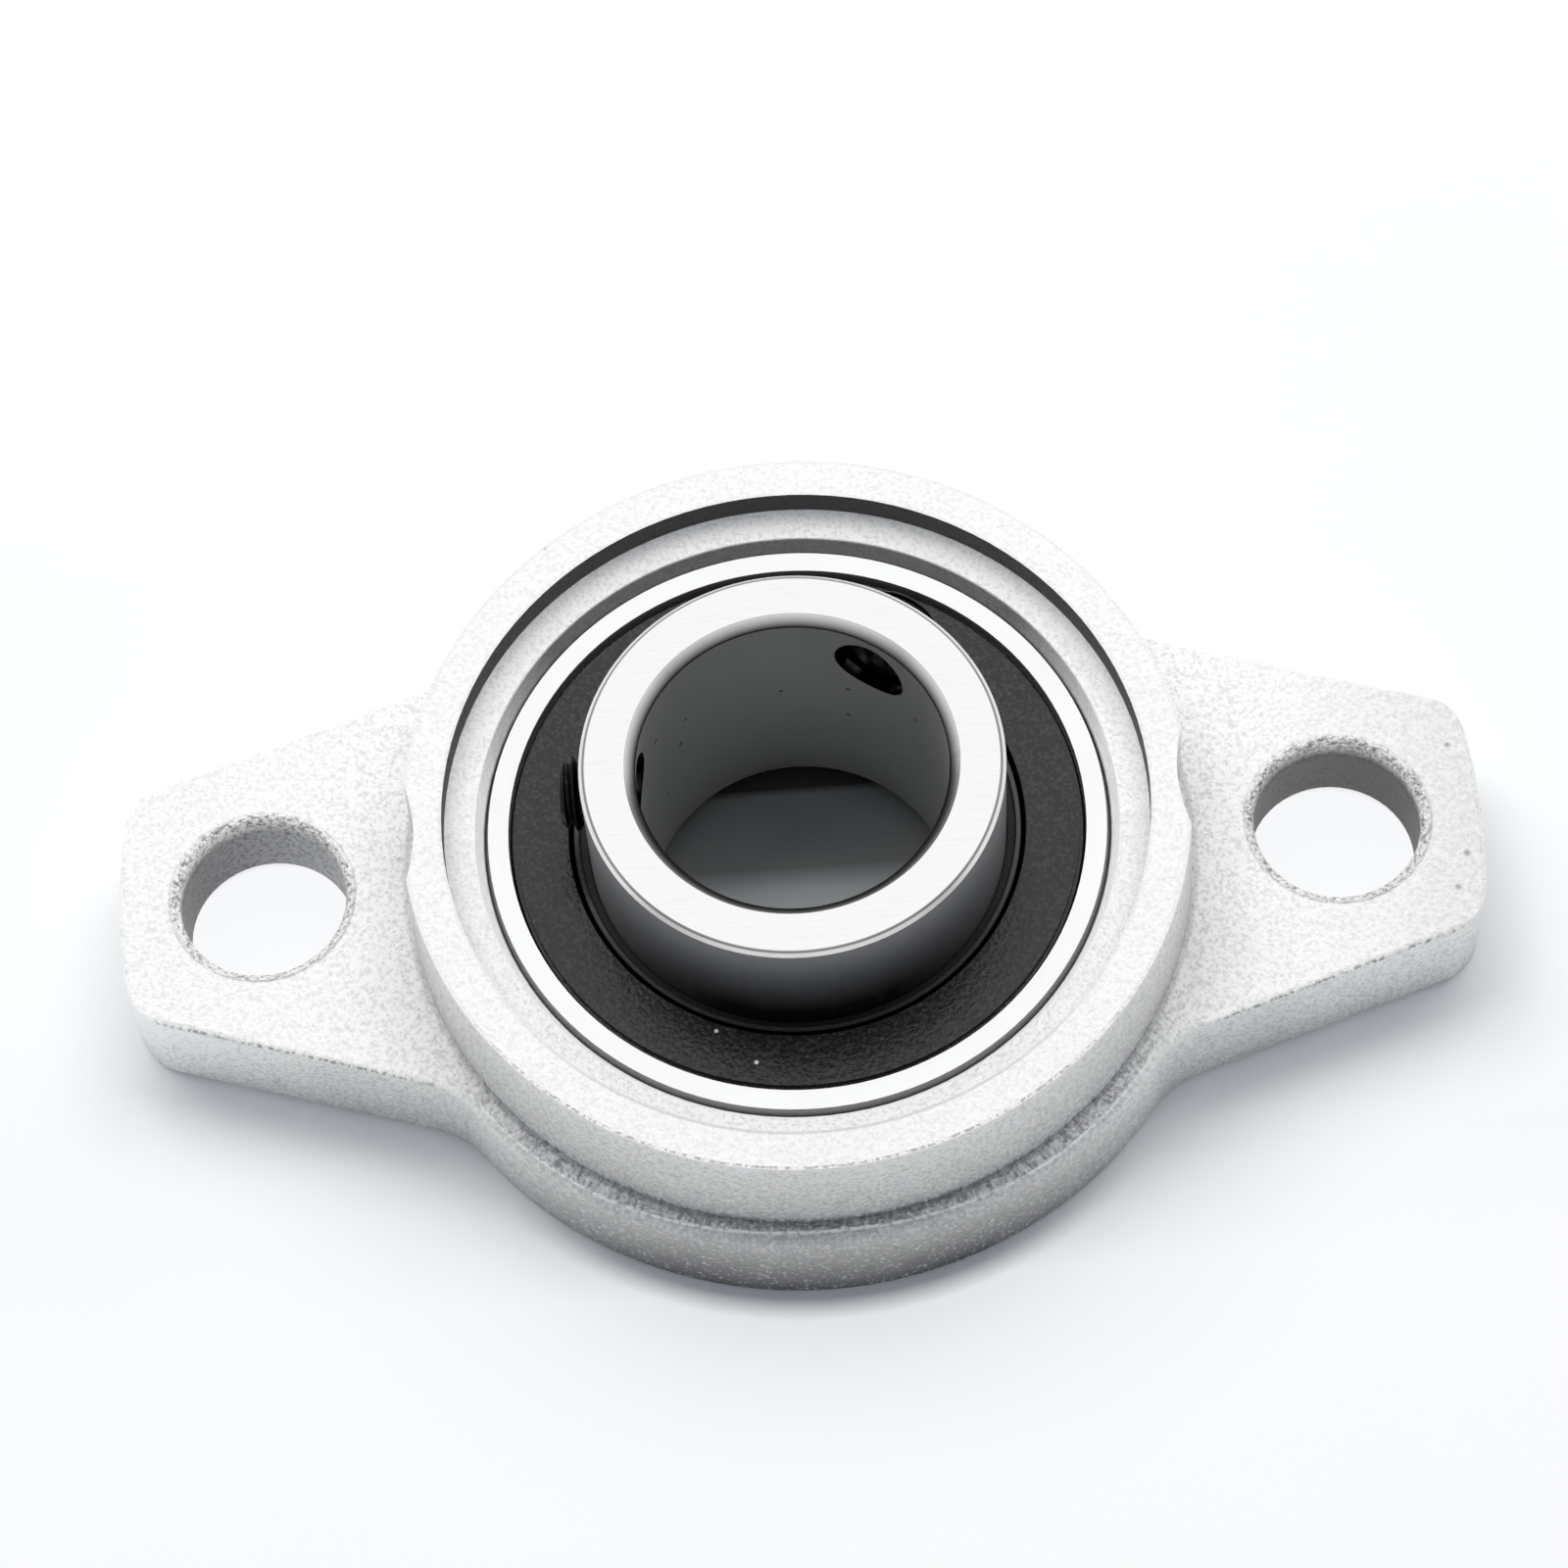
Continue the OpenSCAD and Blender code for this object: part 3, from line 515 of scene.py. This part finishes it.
# Turned and ground ring steel: bright end face with crossed grinding lines, a darker, smoother
# bore with a few specks, and an outside with turning rings drawn at 0.25 mm.
ring_end = finish_named("honed_and_turned_ring_steel")
place = add(ring_end, "TexCoord")
spot = add(ring_end, "SeparateXYZ", links={"Vector": (place, "Object")})
axes = add(ring_end, "SeparateXYZ", links={"Vector": (place, "Normal")})
flat = add(ring_end, "VectorMath", {1: (1, 1, 0)}, {0: (place, "Object")}, operation="MULTIPLY")
radius = add(ring_end, "VectorMath", links={0: (flat, "Vector")}, operation="LENGTH")
upward = add(ring_end, "Math", links={0: (axes, "Z")}, operation="ABSOLUTE")
end_share = add(ring_end, "MapRange", {"From Min": 0.4, "From Max": 0.8}, {"Value": (upward, "Value")})
bore_share = add(ring_end, "MapRange", {"From Min": bore_r + 0.0008, "From Max": bore_r + 0.0004},
                 {"Value": (radius, "Value")})

# Painted shade darkens the outside towards its foot above the seal, most of all in front.
od_foot_shade = add(ring_end, "MapRange", {"From Min": ring_top_z - 0.0085, "From Max": ring_top_z - 0.0008},
            {"Value": (spot, "Z")})
od_front_shade = add(ring_end, "MapRange", {"From Min": -0.004, "From Max": -0.0125}, {"Value": (spot, "Y")})
od_shade_tone = add(ring_end, "Mix", {6: linear("#9A9A9C"), 7: linear("#0E0E0F")}, {0: (od_front_shade, "Result")},
               data_type="RGBA")
turned = add(ring_end, "Mix", {7: linear("#8C8D90")}, {0: (od_foot_shade, "Result"), 6: (od_shade_tone, 2)},
             data_type="RGBA")
wall = add(ring_end, "Mix", {7: honed}, {0: (bore_share, "Result"), 6: (turned, 2)}, data_type="RGBA")
metal = add(ring_end, "Mix", {7: linear("#FBFBF9")}, {0: (end_share, "Result"), 6: (wall, 2)},
            data_type="RGBA")

# Straight crossed lines on the end face, 0.15 mm apart, from a cup wheel.
hatch = add(ring_end, "Mapping", {"Rotation": (0, 0, math.radians(28)), "Scale": (1.0, 14.0, 1.0)},
            {"Vector": (place, "Object")})
lines = add(ring_end, "TexNoise", {"Scale": 1 / 0.0021, "Detail": 2.0, "Roughness": 0.6},
            {"Vector": (hatch, "Vector")})
line_share = add(ring_end, "MapRange", {"From Min": 0.5, "From Max": 0.8, "To Max": 0.07},
                 {"Value": (lines, "Fac")})
lined_metal = add(ring_end, "Mix", {7: linear("#9A9B9D")}, {0: (line_share, "Result"), 6: (metal, 2)},
                  data_type="RGBA")

# Specks of preserving oil and dust, 0.2 mm across, most of them in the bore.
dust = add(ring_end, "TexVoronoi", {"Scale": 1 / 0.0024}, {"Vector": (place, "Object")})
speck = add(ring_end, "MapRange", {"From Min": 0.085, "From Max": 0.05, "To Max": 0.8},
            {"Value": (dust, "Distance")})
speck_in = overlap(ring_end, speck, bore_share)
specked = add(ring_end, "Mix", {7: linear("#2C2C2E")}, {0: (speck_in, "Value"), 6: (lined_metal, 2)},
              data_type="RGBA")

# The tapped holes are drilled and tapped, and painted black inside as shade.
off_axis = add(ring_end, "VectorMath", {1: (0, 0, screw_z)}, {0: (place, "Object")}, operation="SUBTRACT")
for bearing in screw_bearings:
    outward = (math.cos(math.radians(bearing)), math.sin(math.radians(bearing)), 0)
    across = add(ring_end, "VectorMath", {1: outward}, {0: (off_axis, "Vector")}, operation="CROSS_PRODUCT")
    reach = add(ring_end, "VectorMath", links={0: (across, "Vector")}, operation="LENGTH")
    side = add(ring_end, "VectorMath", {1: outward}, {0: (off_axis, "Vector")}, operation="DOT_PRODUCT")
    this_side = add(ring_end, "Math", {1: bore_r - 0.0006}, {0: (side, "Value")}, operation="GREATER_THAN")
    in_hole = add(ring_end, "MapRange", {"From Min": tapped_r + 0.00006, "From Max": tapped_r},
                  {"Value": (reach, "Value")})
    tapped_hole_shade = overlap(ring_end, this_side, in_hole)
    specked = add(ring_end, "Mix", {7: linear("#141415")}, {0: (tapped_hole_shade, "Value"), 6: (specked, 2)},
                  data_type="RGBA")

# A hair of burr shows as a dark line where the end face meets the outer chamfer.
burr_off = apart(ring_end, radius, "Value", end_edge_r)
burr_near = add(ring_end, "MapRange", {"From Min": 0.00011, "From Max": 0.00005, "To Max": 0.75},
                {"Value": (burr_off, "Value")})
burr_up = add(ring_end, "Math", {1: ring_top_z - 0.0003}, {0: (spot, "Z")}, operation="GREATER_THAN")
burr_share = overlap(ring_end, burr_near, burr_up)
specked = add(ring_end, "Mix", {7: linear("#4B4B4C")}, {0: (burr_share, "Value"), 6: (specked, 2)},
              data_type="RGBA")

# The mouth of the bore is chamfered by hand, and painted shade makes its tone fall off towards the bore.
tilt_off = apart(ring_end, upward, "Value", 0.707)
tilted = add(ring_end, "MapRange", {"From Min": 0.2, "From Max": 0.1}, {"Value": (tilt_off, "Value")})
at_mouth = add(ring_end, "MapRange", {"From Min": bore_r + 0.00078, "From Max": bore_r + 0.00074},
               {"Value": (radius, "Value")})
mouth_share = overlap(ring_end, tilted, at_mouth)
mouth_shade_fall = add(ring_end, "MapRange", {"From Min": bore_r + 0.00004, "From Max": bore_r + 0.0006},
                 {"Value": (radius, "Value")})
mouth_shade_tone = add(ring_end, "Mix", {6: linear("#1C1C1C"), 7: linear("#D2D2CF")}, {0: (mouth_shade_fall, "Result")},
                 data_type="RGBA")
specked = add(ring_end, "Mix", links={0: (mouth_share, "Value"), 6: (specked, 2), 7: (mouth_shade_tone, 2)},
              data_type="RGBA")

# Rings left by the turning tool, 0.25 mm apart along the ring.
rings = add(ring_end, "TexWave", {"Scale": 1 / 0.00025 / 20, "Distortion": 1.5, "Detail": 1.0},
            {"Vector": (place, "Object")}, wave_type="BANDS", bands_direction="Z")
height = add(ring_end, "Math", {1: 0.5}, {0: (rings, "Fac"), 2: (lines, "Fac")}, operation="MULTIPLY_ADD")
tooled = add(ring_end, "Bump", {"Strength": 0.12, "Distance": 0.000004}, {"Height": (height, "Value")})
oil = add(ring_end, "TexNoise", {"Scale": 1 / 0.004, "Detail": 3.0}, {"Vector": (place, "Object")})
film = add(ring_end, "MapRange", {"From Min": 0.3, "From Max": 0.7, "To Min": 0.16, "To Max": 0.26},
           {"Value": (oil, "Fac")})
wall_gloss = add(ring_end, "MapRange", {"To Min": 0.46, "To Max": 0.6}, {"Value": (bore_share, "Result")})
wall_dull = add(ring_end, "MapRange", {"From Min": 0.6, "From Max": 0.3},
                {"Value": (upward, "Value"), "To Max": (wall_gloss, "Result")})
dullness = add(ring_end, "Math", links={0: (film, "Result"), 1: (wall_dull, "Result")}, operation="MAXIMUM")
outside = add(ring_end, "Math", links={0: (end_share, "Result"), 1: (bore_share, "Result")},
              operation="MAXIMUM")
filmed = add(ring_end, "MapRange", {"To Min": 0.55, "To Max": 1.0}, {"Value": (outside, "Value")})
end_shader = add(ring_end, "BsdfPrincipled",
                 links={"Metallic": (filmed, "Result"), "Base Color": (specked, 2),
                        "Roughness": (dullness, "Value"), "Normal": (tooled, "Normal")})
add(ring_end, "OutputMaterial", links={"Surface": (end_shader, "BSDF")})

dress(ring_end, "inner_ring")


# Seals
# Rubber discs snapped into the outer ring's grooves, with a lip that wipes the inner ring.
# Nitrile rubber moulded on a flat steel washer, in a mould whose face was spark-eroded.
rubber = linear("#060607")
groove_r = 0.01471
seal_face_z = 0.0127

# Moulded nitrile rubber: charcoal, dull, with a leathery grain of 0.3 mm, greyer on its crests
# where it was handled, and two pale specks of lint.
nitrile = finish_named("moulded_nitrile_rubber")
place = add(nitrile, "TexCoord")
grain = add(nitrile, "TexNoise", {"Scale": 1 / 0.00028, "Detail": 2.0, "Roughness": 0.55},
            {"Vector": (place, "Object")})
wrinkle = add(nitrile, "TexVoronoi", {"Scale": 1 / 0.00035}, {"Vector": (place, "Object")},
              feature="SMOOTH_F1")
bloom = add(nitrile, "TexNoise", {"Scale": 1 / 0.006, "Detail": 3.0}, {"Vector": (place, "Object")})
crest = add(nitrile, "MapRange", {"From Min": 0.48, "From Max": 0.62, "To Max": 0.9},
            {"Value": (grain, "Fac")})
charcoal = add(nitrile, "Mix", {6: rubber, 7: linear("#29292A")}, {0: (crest, "Result")}, data_type="RGBA")
bloom_share = add(nitrile, "MapRange", {"From Min": 0.45, "From Max": 0.75, "To Max": 0.3},
                  {"Value": (bloom, "Fac")})
bloomed = add(nitrile, "Mix", {7: linear("#161617")}, {0: (bloom_share, "Result"), 6: (charcoal, 2)},
              data_type="RGBA")
linted = bloomed
for lint_x, lint_y in ((-0.00606, -0.01414), (-0.00363, -0.01652)):
    lint_off = add(nitrile, "VectorMath", {1: (lint_x, lint_y, seal_face_z)}, {0: (place, "Object")},
                   operation="DISTANCE")
    lint = add(nitrile, "MapRange", {"From Min": 0.00016, "From Max": 0.0001}, {"Value": (lint_off, "Value")})
    linted = add(nitrile, "Mix", {7: linear("#F2F2F0")}, {0: (lint, "Result"), 6: (linted, 2)},
                 data_type="RGBA")

# Inside the grained face lies a smooth lip, painted lighter against the shade of its slope, with a
# groove round it painted black as shade and given no sheen.
flat = add(nitrile, "VectorMath", {1: (1, 1, 0)}, {0: (place, "Object")}, operation="MULTIPLY")
radius = add(nitrile, "VectorMath", links={0: (flat, "Vector")}, operation="LENGTH")
outside = add(nitrile, "MapRange", {"From Min": groove_r, "From Max": groove_r + 0.0002},
              {"Value": (radius, "Value")})
lip_share = add(nitrile, "MapRange",
                {"From Min": groove_r - 0.00015, "From Max": groove_r - 0.00025, "To Max": 0.9},
                {"Value": (radius, "Value")})
lip_lightened = add(nitrile, "Mix", {7: linear("#343436")}, {0: (lip_share, "Result"), 6: (linted, 2)},
             data_type="RGBA")
groove_off = apart(nitrile, radius, "Value", groove_r)
groove = add(nitrile, "MapRange", {"From Min": 0.00022, "From Max": 0.00014},
             {"Value": (groove_off, "Value")})
groove_shaded = add(nitrile, "Mix", {7: linear("#020202")}, {0: (groove, "Result"), 6: (lip_lightened, 2)},
              data_type="RGBA")
sheen = add(nitrile, "MapRange", {"To Min": 0.6, "To Max": 0.0}, {"Value": (groove, "Result")})
leather = add(nitrile, "Math", {1: 0.6}, {0: (wrinkle, "Distance"), 2: (grain, "Fac")},
              operation="MULTIPLY_ADD")
leather_out = overlap(nitrile, leather, outside)
leathery = add(nitrile, "Bump", {"Strength": 1.0, "Distance": 0.00003}, {"Height": (leather_out, "Value")})
matt = add(nitrile, "MapRange", {"From Min": 0.3, "From Max": 0.7, "To Min": 0.18, "To Max": 0.28},
           {"Value": (grain, "Fac")})
nitrile_shader = add(nitrile, "BsdfPrincipled", {"Metallic": 0.0, "IOR": 1.52},
                     {"Base Color": (groove_shaded, 2), "Roughness": (matt, "Result"),
                      "Normal": (leathery, "Normal"), "Specular IOR Level": (sheen, "Result")})
add(nitrile, "OutputMaterial", links={"Surface": (nitrile_shader, "BSDF")})

dress(nitrile, "front_seal", "rear_seal")


# Set screws
# Two hexagon-socket set screws with cup points, screwed through the inner ring onto the shaft.
# Alloy steel, thread-rolled, hardened and blackened in hot salts.

# The screw is modelled upright in millimetres, and scaled as it is placed.
screw_r = 2.45
screw_core_r = 1.96
screw_pitch = 0.8
screw_length = 4.0
end_chamfer = 0.5
ridge_foot = 0.36
ridge_crest = 0.06
ridge_turns = 6
cup_r = 1.55
cup_tip_r = 0.15
cup_length = 1.4
socket_flats = 2.5
socket_depth = 1.8
socket_drill = 0.5
spare = 0.5

# Its foot stands this far from the shaft axis, in metres.
screw_foot_r = 0.0109


def pick(piece, kind, wanted):
    """Opens a piece for editing with only those of its edges or faces selected that are wanted."""
    bpy.ops.object.mode_set(mode="EDIT")
    bpy.ops.mesh.select_mode(type=kind)
    bpy.ops.mesh.select_all(action="DESELECT")
    bpy.ops.object.mode_set(mode="OBJECT")
    for item in piece.data.edges if kind == "EDGE" else piece.data.polygons:
        item.select = wanted(item)
    bpy.ops.object.mode_set(mode="EDIT")


# The blank: a rod with both ends chamfered, in millimetres, that the thread is cut back to.
bpy.ops.mesh.primitive_cylinder_add(vertices=48, radius=screw_r, depth=screw_length,
                                    location=(0, 0, screw_length / 2))
blank = bpy.context.object
pick(blank, "EDGE", lambda edge: len({round(blank.data.vertices[v].co.z, 3) for v in edge.vertices}) == 1)
bpy.ops.mesh.bevel(offset=end_chamfer, segments=1)
bpy.ops.object.mode_set(mode="OBJECT")

# The thread: one ridge section swept round the axis, a pitch higher each turn.
bpy.ops.mesh.primitive_plane_add(size=1.0, location=(0, 0, 0))
thread = bpy.context.object
ridge = ((screw_core_r - 0.1, -ridge_foot), (screw_r + 0.02, -ridge_crest),
         (screw_r + 0.02, ridge_crest), (screw_core_r - 0.1, ridge_foot))
for vertex, (out_by, up_by) in zip((0, 1, 3, 2), ridge):
    thread.data.vertices[vertex].co = (out_by, 0.0, up_by)
bpy.ops.object.mode_set(mode="EDIT")
bpy.ops.mesh.select_all(action="SELECT")
bpy.ops.mesh.delete(type="ONLY_FACE")
bpy.ops.object.mode_set(mode="OBJECT")
sweep = thread.modifiers.new("sweep", "SCREW")
sweep.axis = "Z"
sweep.screw_offset = screw_pitch
sweep.iterations = ridge_turns
sweep.steps = sweep.render_steps = 36
bpy.ops.object.modifier_apply(modifier="sweep")
bpy.ops.object.mode_set(mode="EDIT")
bpy.ops.mesh.select_all(action="SELECT")
bpy.ops.mesh.fill_holes(sides=4)
bpy.ops.mesh.normals_make_consistent(inside=False)
bpy.ops.transform.translate(value=(0, 0, -0.5 * screw_pitch))
bpy.ops.object.mode_set(mode="OBJECT")

# The core under the thread, longer than the blank so that the blank cuts both ends.
bpy.ops.object.select_all(action="DESELECT")
bpy.ops.mesh.primitive_cylinder_add(vertices=48, radius=screw_core_r, depth=screw_length + 2 * spare,
                                    location=(0, 0, screw_length / 2))
screw = bpy.context.object

# A cone for the cup point and a hexagon with a drilled tip for the socket.
bpy.ops.object.select_all(action="DESELECT")
bpy.ops.mesh.primitive_cone_add(vertices=40, radius1=cup_r, radius2=cup_tip_r, depth=cup_length,
                                location=(0, 0, cup_length / 2 - spare))
cup = bpy.context.object
bpy.ops.object.select_all(action="DESELECT")
bpy.ops.mesh.primitive_cylinder_add(vertices=6, radius=socket_flats / math.sqrt(3),
                                    depth=socket_depth + 2 * spare,
                                    location=(0, 0, screw_length - socket_depth / 2 + spare))
punch = bpy.context.object
pick(punch, "FACE", lambda face: face.normal.z < -0.9)
bpy.ops.mesh.inset(thickness=1.0)
bpy.ops.transform.translate(value=(0, 0, -socket_drill))
bpy.ops.object.mode_set(mode="OBJECT")

# Thread and core are joined, trimmed to the blank, cupped at the foot and socketed at the head.
bpy.context.view_layer.objects.active = screw
for tool, operation in ((thread, "UNION"), (blank, "INTERSECT"), (cup, "DIFFERENCE"), (punch, "DIFFERENCE")):
    cut = screw.modifiers.new("cut", "BOOLEAN")
    cut.operation = operation
    cut.object = tool
    cut.solver = "EXACT"
    bpy.ops.object.modifier_apply(modifier="cut")
    bpy.data.objects.remove(tool)

# Blackened steel: blue-black and satin, with crests and rims rubbed through to grey steel.
black_oxide = finish_named("black_oxide_steel")
place = add(black_oxide, "TexCoord")
salt = add(black_oxide, "TexNoise", {"Scale": 1 / 0.0007, "Detail": 4.0, "Roughness": 0.6},
           {"Vector": (place, "Object")})
fine = add(black_oxide, "TexNoise", {"Scale": 1 / 0.00015, "Detail": 2.0}, {"Vector": (place, "Object")})
rub = add(black_oxide, "MapRange", {"From Min": 0.58, "From Max": 0.74, "To Max": 0.7},
          {"Value": (salt, "Fac")})
oxide = add(black_oxide, "Mix", {6: linear("#151618"), 7: linear("#4A4B4E")}, {0: (rub, "Result")},
            data_type="RGBA")
oxide_gloss = add(black_oxide, "MapRange", {"From Min": 0.3, "From Max": 0.7, "To Min": 0.28, "To Max": 0.5},
                  {"Value": (salt, "Fac")})
etched = add(black_oxide, "Bump", {"Strength": 0.3, "Distance": 0.00001}, {"Height": (fine, "Fac")})
oxide_shader = add(black_oxide, "BsdfPrincipled", {"Metallic": 0.9},
                   {"Base Color": (oxide, 2), "Roughness": (oxide_gloss, "Result"),
                    "Normal": (etched, "Normal")})
add(black_oxide, "OutputMaterial", links={"Surface": (oxide_shader, "BSDF")})
screw.data.materials.clear()
screw.data.materials.append(black_oxide)

for number, bearing in enumerate(screw_bearings, 1):
    bpy.ops.object.select_all(action="DESELECT")
    placed = screw.copy()
    placed.data = screw.data.copy()
    placed.name = placed.data.name = f"threaded_set_screw_{number}"
    bpy.context.scene.collection.objects.link(placed)
    turn_out = Matrix.Rotation(math.radians(bearing), 4, "Z") @ Matrix.Rotation(math.radians(90), 4, "Y")
    placed.matrix_world = (Matrix.Translation((0, 0, screw_z)) @ turn_out
                           @ Matrix.Translation((0, 0, screw_foot_r)) @ Matrix.Scale(0.001, 4)
                           @ screw.matrix_world)
    placed.select_set(True)
    bpy.context.view_layer.objects.active = placed
    bpy.ops.object.transform_apply(location=True, rotation=True, scale=True)
    bpy.ops.object.shade_smooth_by_angle(angle=math.radians(30))
    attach(placed, f"set_screw_{number}")
    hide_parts(f"set_screw_{number}")
bpy.data.objects.remove(screw)


# Floor and light
# A pale paper sweep under the part, lit by soft boxes from above on both sides.
# The room is white where the camera or the metal looks, and dim for everything else.
bpy.ops.object.select_all(action="DESELECT")
disc_r = 0.0275
bpy.ops.mesh.primitive_plane_add(size=4.0, location=(0, 0, -0.00003))
floor = bpy.context.object
floor.name = "paper_floor"
paper = finish_named("white_paper_sweep")
place = add(paper, "TexCoord")
flat = add(paper, "VectorMath", {1: (1, 1, 0)}, {0: (place, "Object")}, operation="MULTIPLY")
out = add(paper, "VectorMath", links={0: (flat, "Vector")}, operation="LENGTH")
fibre = add(paper, "TexNoise", {"Scale": 1 / 0.02, "Detail": 2.0}, {"Vector": (place, "Object")})
tint = add(paper, "Mix", {6: linear("#E5E7E9"), 7: linear("#E8EAEC")}, {0: (fibre, "Fac")}, data_type="RGBA")

# Under the bore the paper lies in the ring's shade, in bands that darken towards the back.
under = add(paper, "MapRange", {"From Min": bore_r + 0.0025, "From Max": bore_r + 0.0015},
            {"Value": (out, "Value")})
there = add(paper, "SeparateXYZ", links={"Vector": (place, "Object")})
near = add(paper, "MapRange", {"From Min": 0.0014, "From Max": 0.0032}, {"Value": (there, "Y")})
near_shade = add(paper, "Mix", {6: linear("#B2B8B9"), 7: linear("#7E8081")}, {0: (near, "Result")},
                 data_type="RGBA")
far = add(paper, "MapRange", {"From Min": 0.0086, "From Max": 0.0092}, {"Value": (there, "Y")})
shade = add(paper, "Mix", {7: linear("#3A3B3C")}, {0: (far, "Result"), 6: (near_shade, 2)}, data_type="RGBA")
shaded = add(paper, "Mix", links={0: (under, "Result"), 6: (tint, 2), 7: (shade, 2)}, data_type="RGBA")
paper_diffuse = add(paper, "BsdfDiffuse", links={"Color": (shaded, 2)})
paper_white = add(paper, "Emission", {"Color": linear("#FCFDFF"), "Strength": 1.0})


def looked_at(stage):
    """The light paths of a stage, and those of them that look: from the camera, off metal, through glass."""
    path = add(stage, "LightPath")
    seen = add(stage, "Math", links={0: (path, "Is Camera Ray"), 1: (path, "Is Glossy Ray")},
               operation="MAXIMUM")
    return path, add(stage, "Math", links={0: (seen, "Value"), 1: (path, "Is Transmission Ray")},
                     operation="MAXIMUM")


# Looked at, the paper is white away from the part, and painted light makes it white in the bolt holes
# and lightens its shadow in front of the part; close by at the sides it keeps its shadow.
seen_all = looked_at(paper)[1]
front_painted_light = add(paper, "MapRange", {"From Min": -0.019, "From Max": -0.027, "To Min": 0.04, "To Max": 0.68},
               {"Value": (there, "Y")})
clear_of_part = add(paper, "MapRange", {"From Min": disc_r + 0.0004, "From Max": disc_r + 0.0019},
                    {"Value": (out, "Value"), "To Max": (front_painted_light, "Result")})
folded = add(paper, "VectorMath", links={0: (flat, "Vector")}, operation="ABSOLUTE")
from_hole = add(paper, "VectorMath", {1: (hole_x, 0, 0)}, {0: (folded, "Vector")}, operation="DISTANCE")
hole_painted_light = add(paper, "MapRange", {"From Min": 0.0075, "From Max": 0.006, "To Max": 0.94},
                 {"Value": (from_hole, "Value")})
glow_near = add(paper, "Math", links={0: (clear_of_part, "Result"), 1: (hole_painted_light, "Result")},
                operation="MAXIMUM")
sweep_far = add(paper, "MapRange", {"From Min": 0.09, "From Max": 0.16, "To Max": 0.92},
                {"Value": (out, "Value")}, interpolation_type="SMOOTHSTEP")
glow = add(paper, "Math", links={0: (glow_near, "Value"), 1: (sweep_far, "Result")}, operation="MAXIMUM")
white_share = overlap(paper, seen_all, glow)
paper_mix = add(paper, "MixShader", links={0: (white_share, "Value"), 1: (paper_diffuse, "BSDF"),
                                           2: (paper_white, "Emission")})
add(paper, "OutputMaterial", links={"Surface": (paper_mix, "Shader")})
floor.data.materials.append(paper)

room = bpy.data.worlds.new("studio_room")
bpy.context.scene.world = room
room.use_nodes = True
room.node_tree.nodes.clear()
light_path, seen_all = looked_at(room)

# Low down in front the room is dark, which draws the walls of the rings.
way = add(room, "TexCoord")
compass = add(room, "SeparateXYZ", links={"Vector": (way, "Generated")})
ahead = add(room, "MapRange", {"From Min": -0.7, "From Max": -0.15, "To Min": 0.06, "To Max": 1.0},
            {"Value": (compass, "Y")}, interpolation_type="SMOOTHSTEP")
overhead = add(room, "MapRange", {"From Min": 0.2, "From Max": 0.4}, {"Value": (compass, "Z")})
open_room = add(room, "Math", links={0: (ahead, "Result"), 1: (overhead, "Result")}, operation="MAXIMUM")
behind_lens = add(room, "Math", links={0: (open_room, "Value"), 1: (light_path, "Is Camera Ray")},
                  operation="MAXIMUM")
room_level = add(room, "MapRange", {"To Min": 0.45}, {"Value": (seen_all, "Value"),
                                                     "To Max": (behind_lens, "Value")})
room_tone = add(room, "Mix", {6: linear("#E3EAF4"), 7: linear("#FDFEFF")}, {0: (seen_all, "Value")},
                data_type="RGBA")
room_glow = add(room, "Background", links={"Color": (room_tone, 2), "Strength": (room_level, "Result")})
add(room, "OutputWorld", links={"Surface": (room_glow, "Background")})

for name, spot_at, size, power in (
    ("soft_box_left", (-0.20, 0.31, 0.62), 0.45, 3.3),
    ("soft_box_right", (0.22, 0.30, 0.62), 0.45, 2.4),
):
    lamp = bpy.data.lights.new(name, "AREA")
    lamp.shape = "SQUARE"
    lamp.size = size
    lamp.energy = power
    lamp.color = (1.0, 0.975, 0.935)
    lamp_object = bpy.data.objects.new(name, lamp)
    bpy.context.scene.collection.objects.link(lamp_object)
    lamp_object.location = spot_at
    lamp_object.visible_glossy = False
    lamp_object.rotation_euler = (-Vector(spot_at)).to_track_quat("-Z", "Y").to_euler()


# Camera
# A long lens from in front and well above, as the part was photographed.
azimuth, elevation, roll = (math.radians(angle) for angle in (0.7457, 63.2767, -4.8192))
target = Vector((-0.0007406, 0.0094983, 0.0))
distance = 0.350
focal_px = 5246.55
photo_px = 1600
back = Vector((math.sin(azimuth) * math.cos(elevation), -math.cos(azimuth) * math.cos(elevation),
               math.sin(elevation)))
level = (-back).cross(Vector((0, 0, 1))).normalized()
above = level.cross(-back)
right = level * math.cos(roll) + above * math.sin(roll)
up = above * math.cos(roll) - level * math.sin(roll)
lens = bpy.data.cameras.new("front_camera")
lens.sensor_width = 36.0
lens.lens = lens.sensor_width * focal_px / photo_px
lens.clip_start, lens.clip_end = 0.01, 20.0
camera = bpy.data.objects.new("front_camera", lens)
bpy.context.scene.collection.objects.link(camera)
turned_to = Matrix((right, up, back)).transposed().to_4x4()
camera.matrix_world = Matrix.Translation(target + back * distance) @ turned_to
bpy.context.scene.camera = camera
bpy.context.scene.view_settings.view_transform = "Standard"
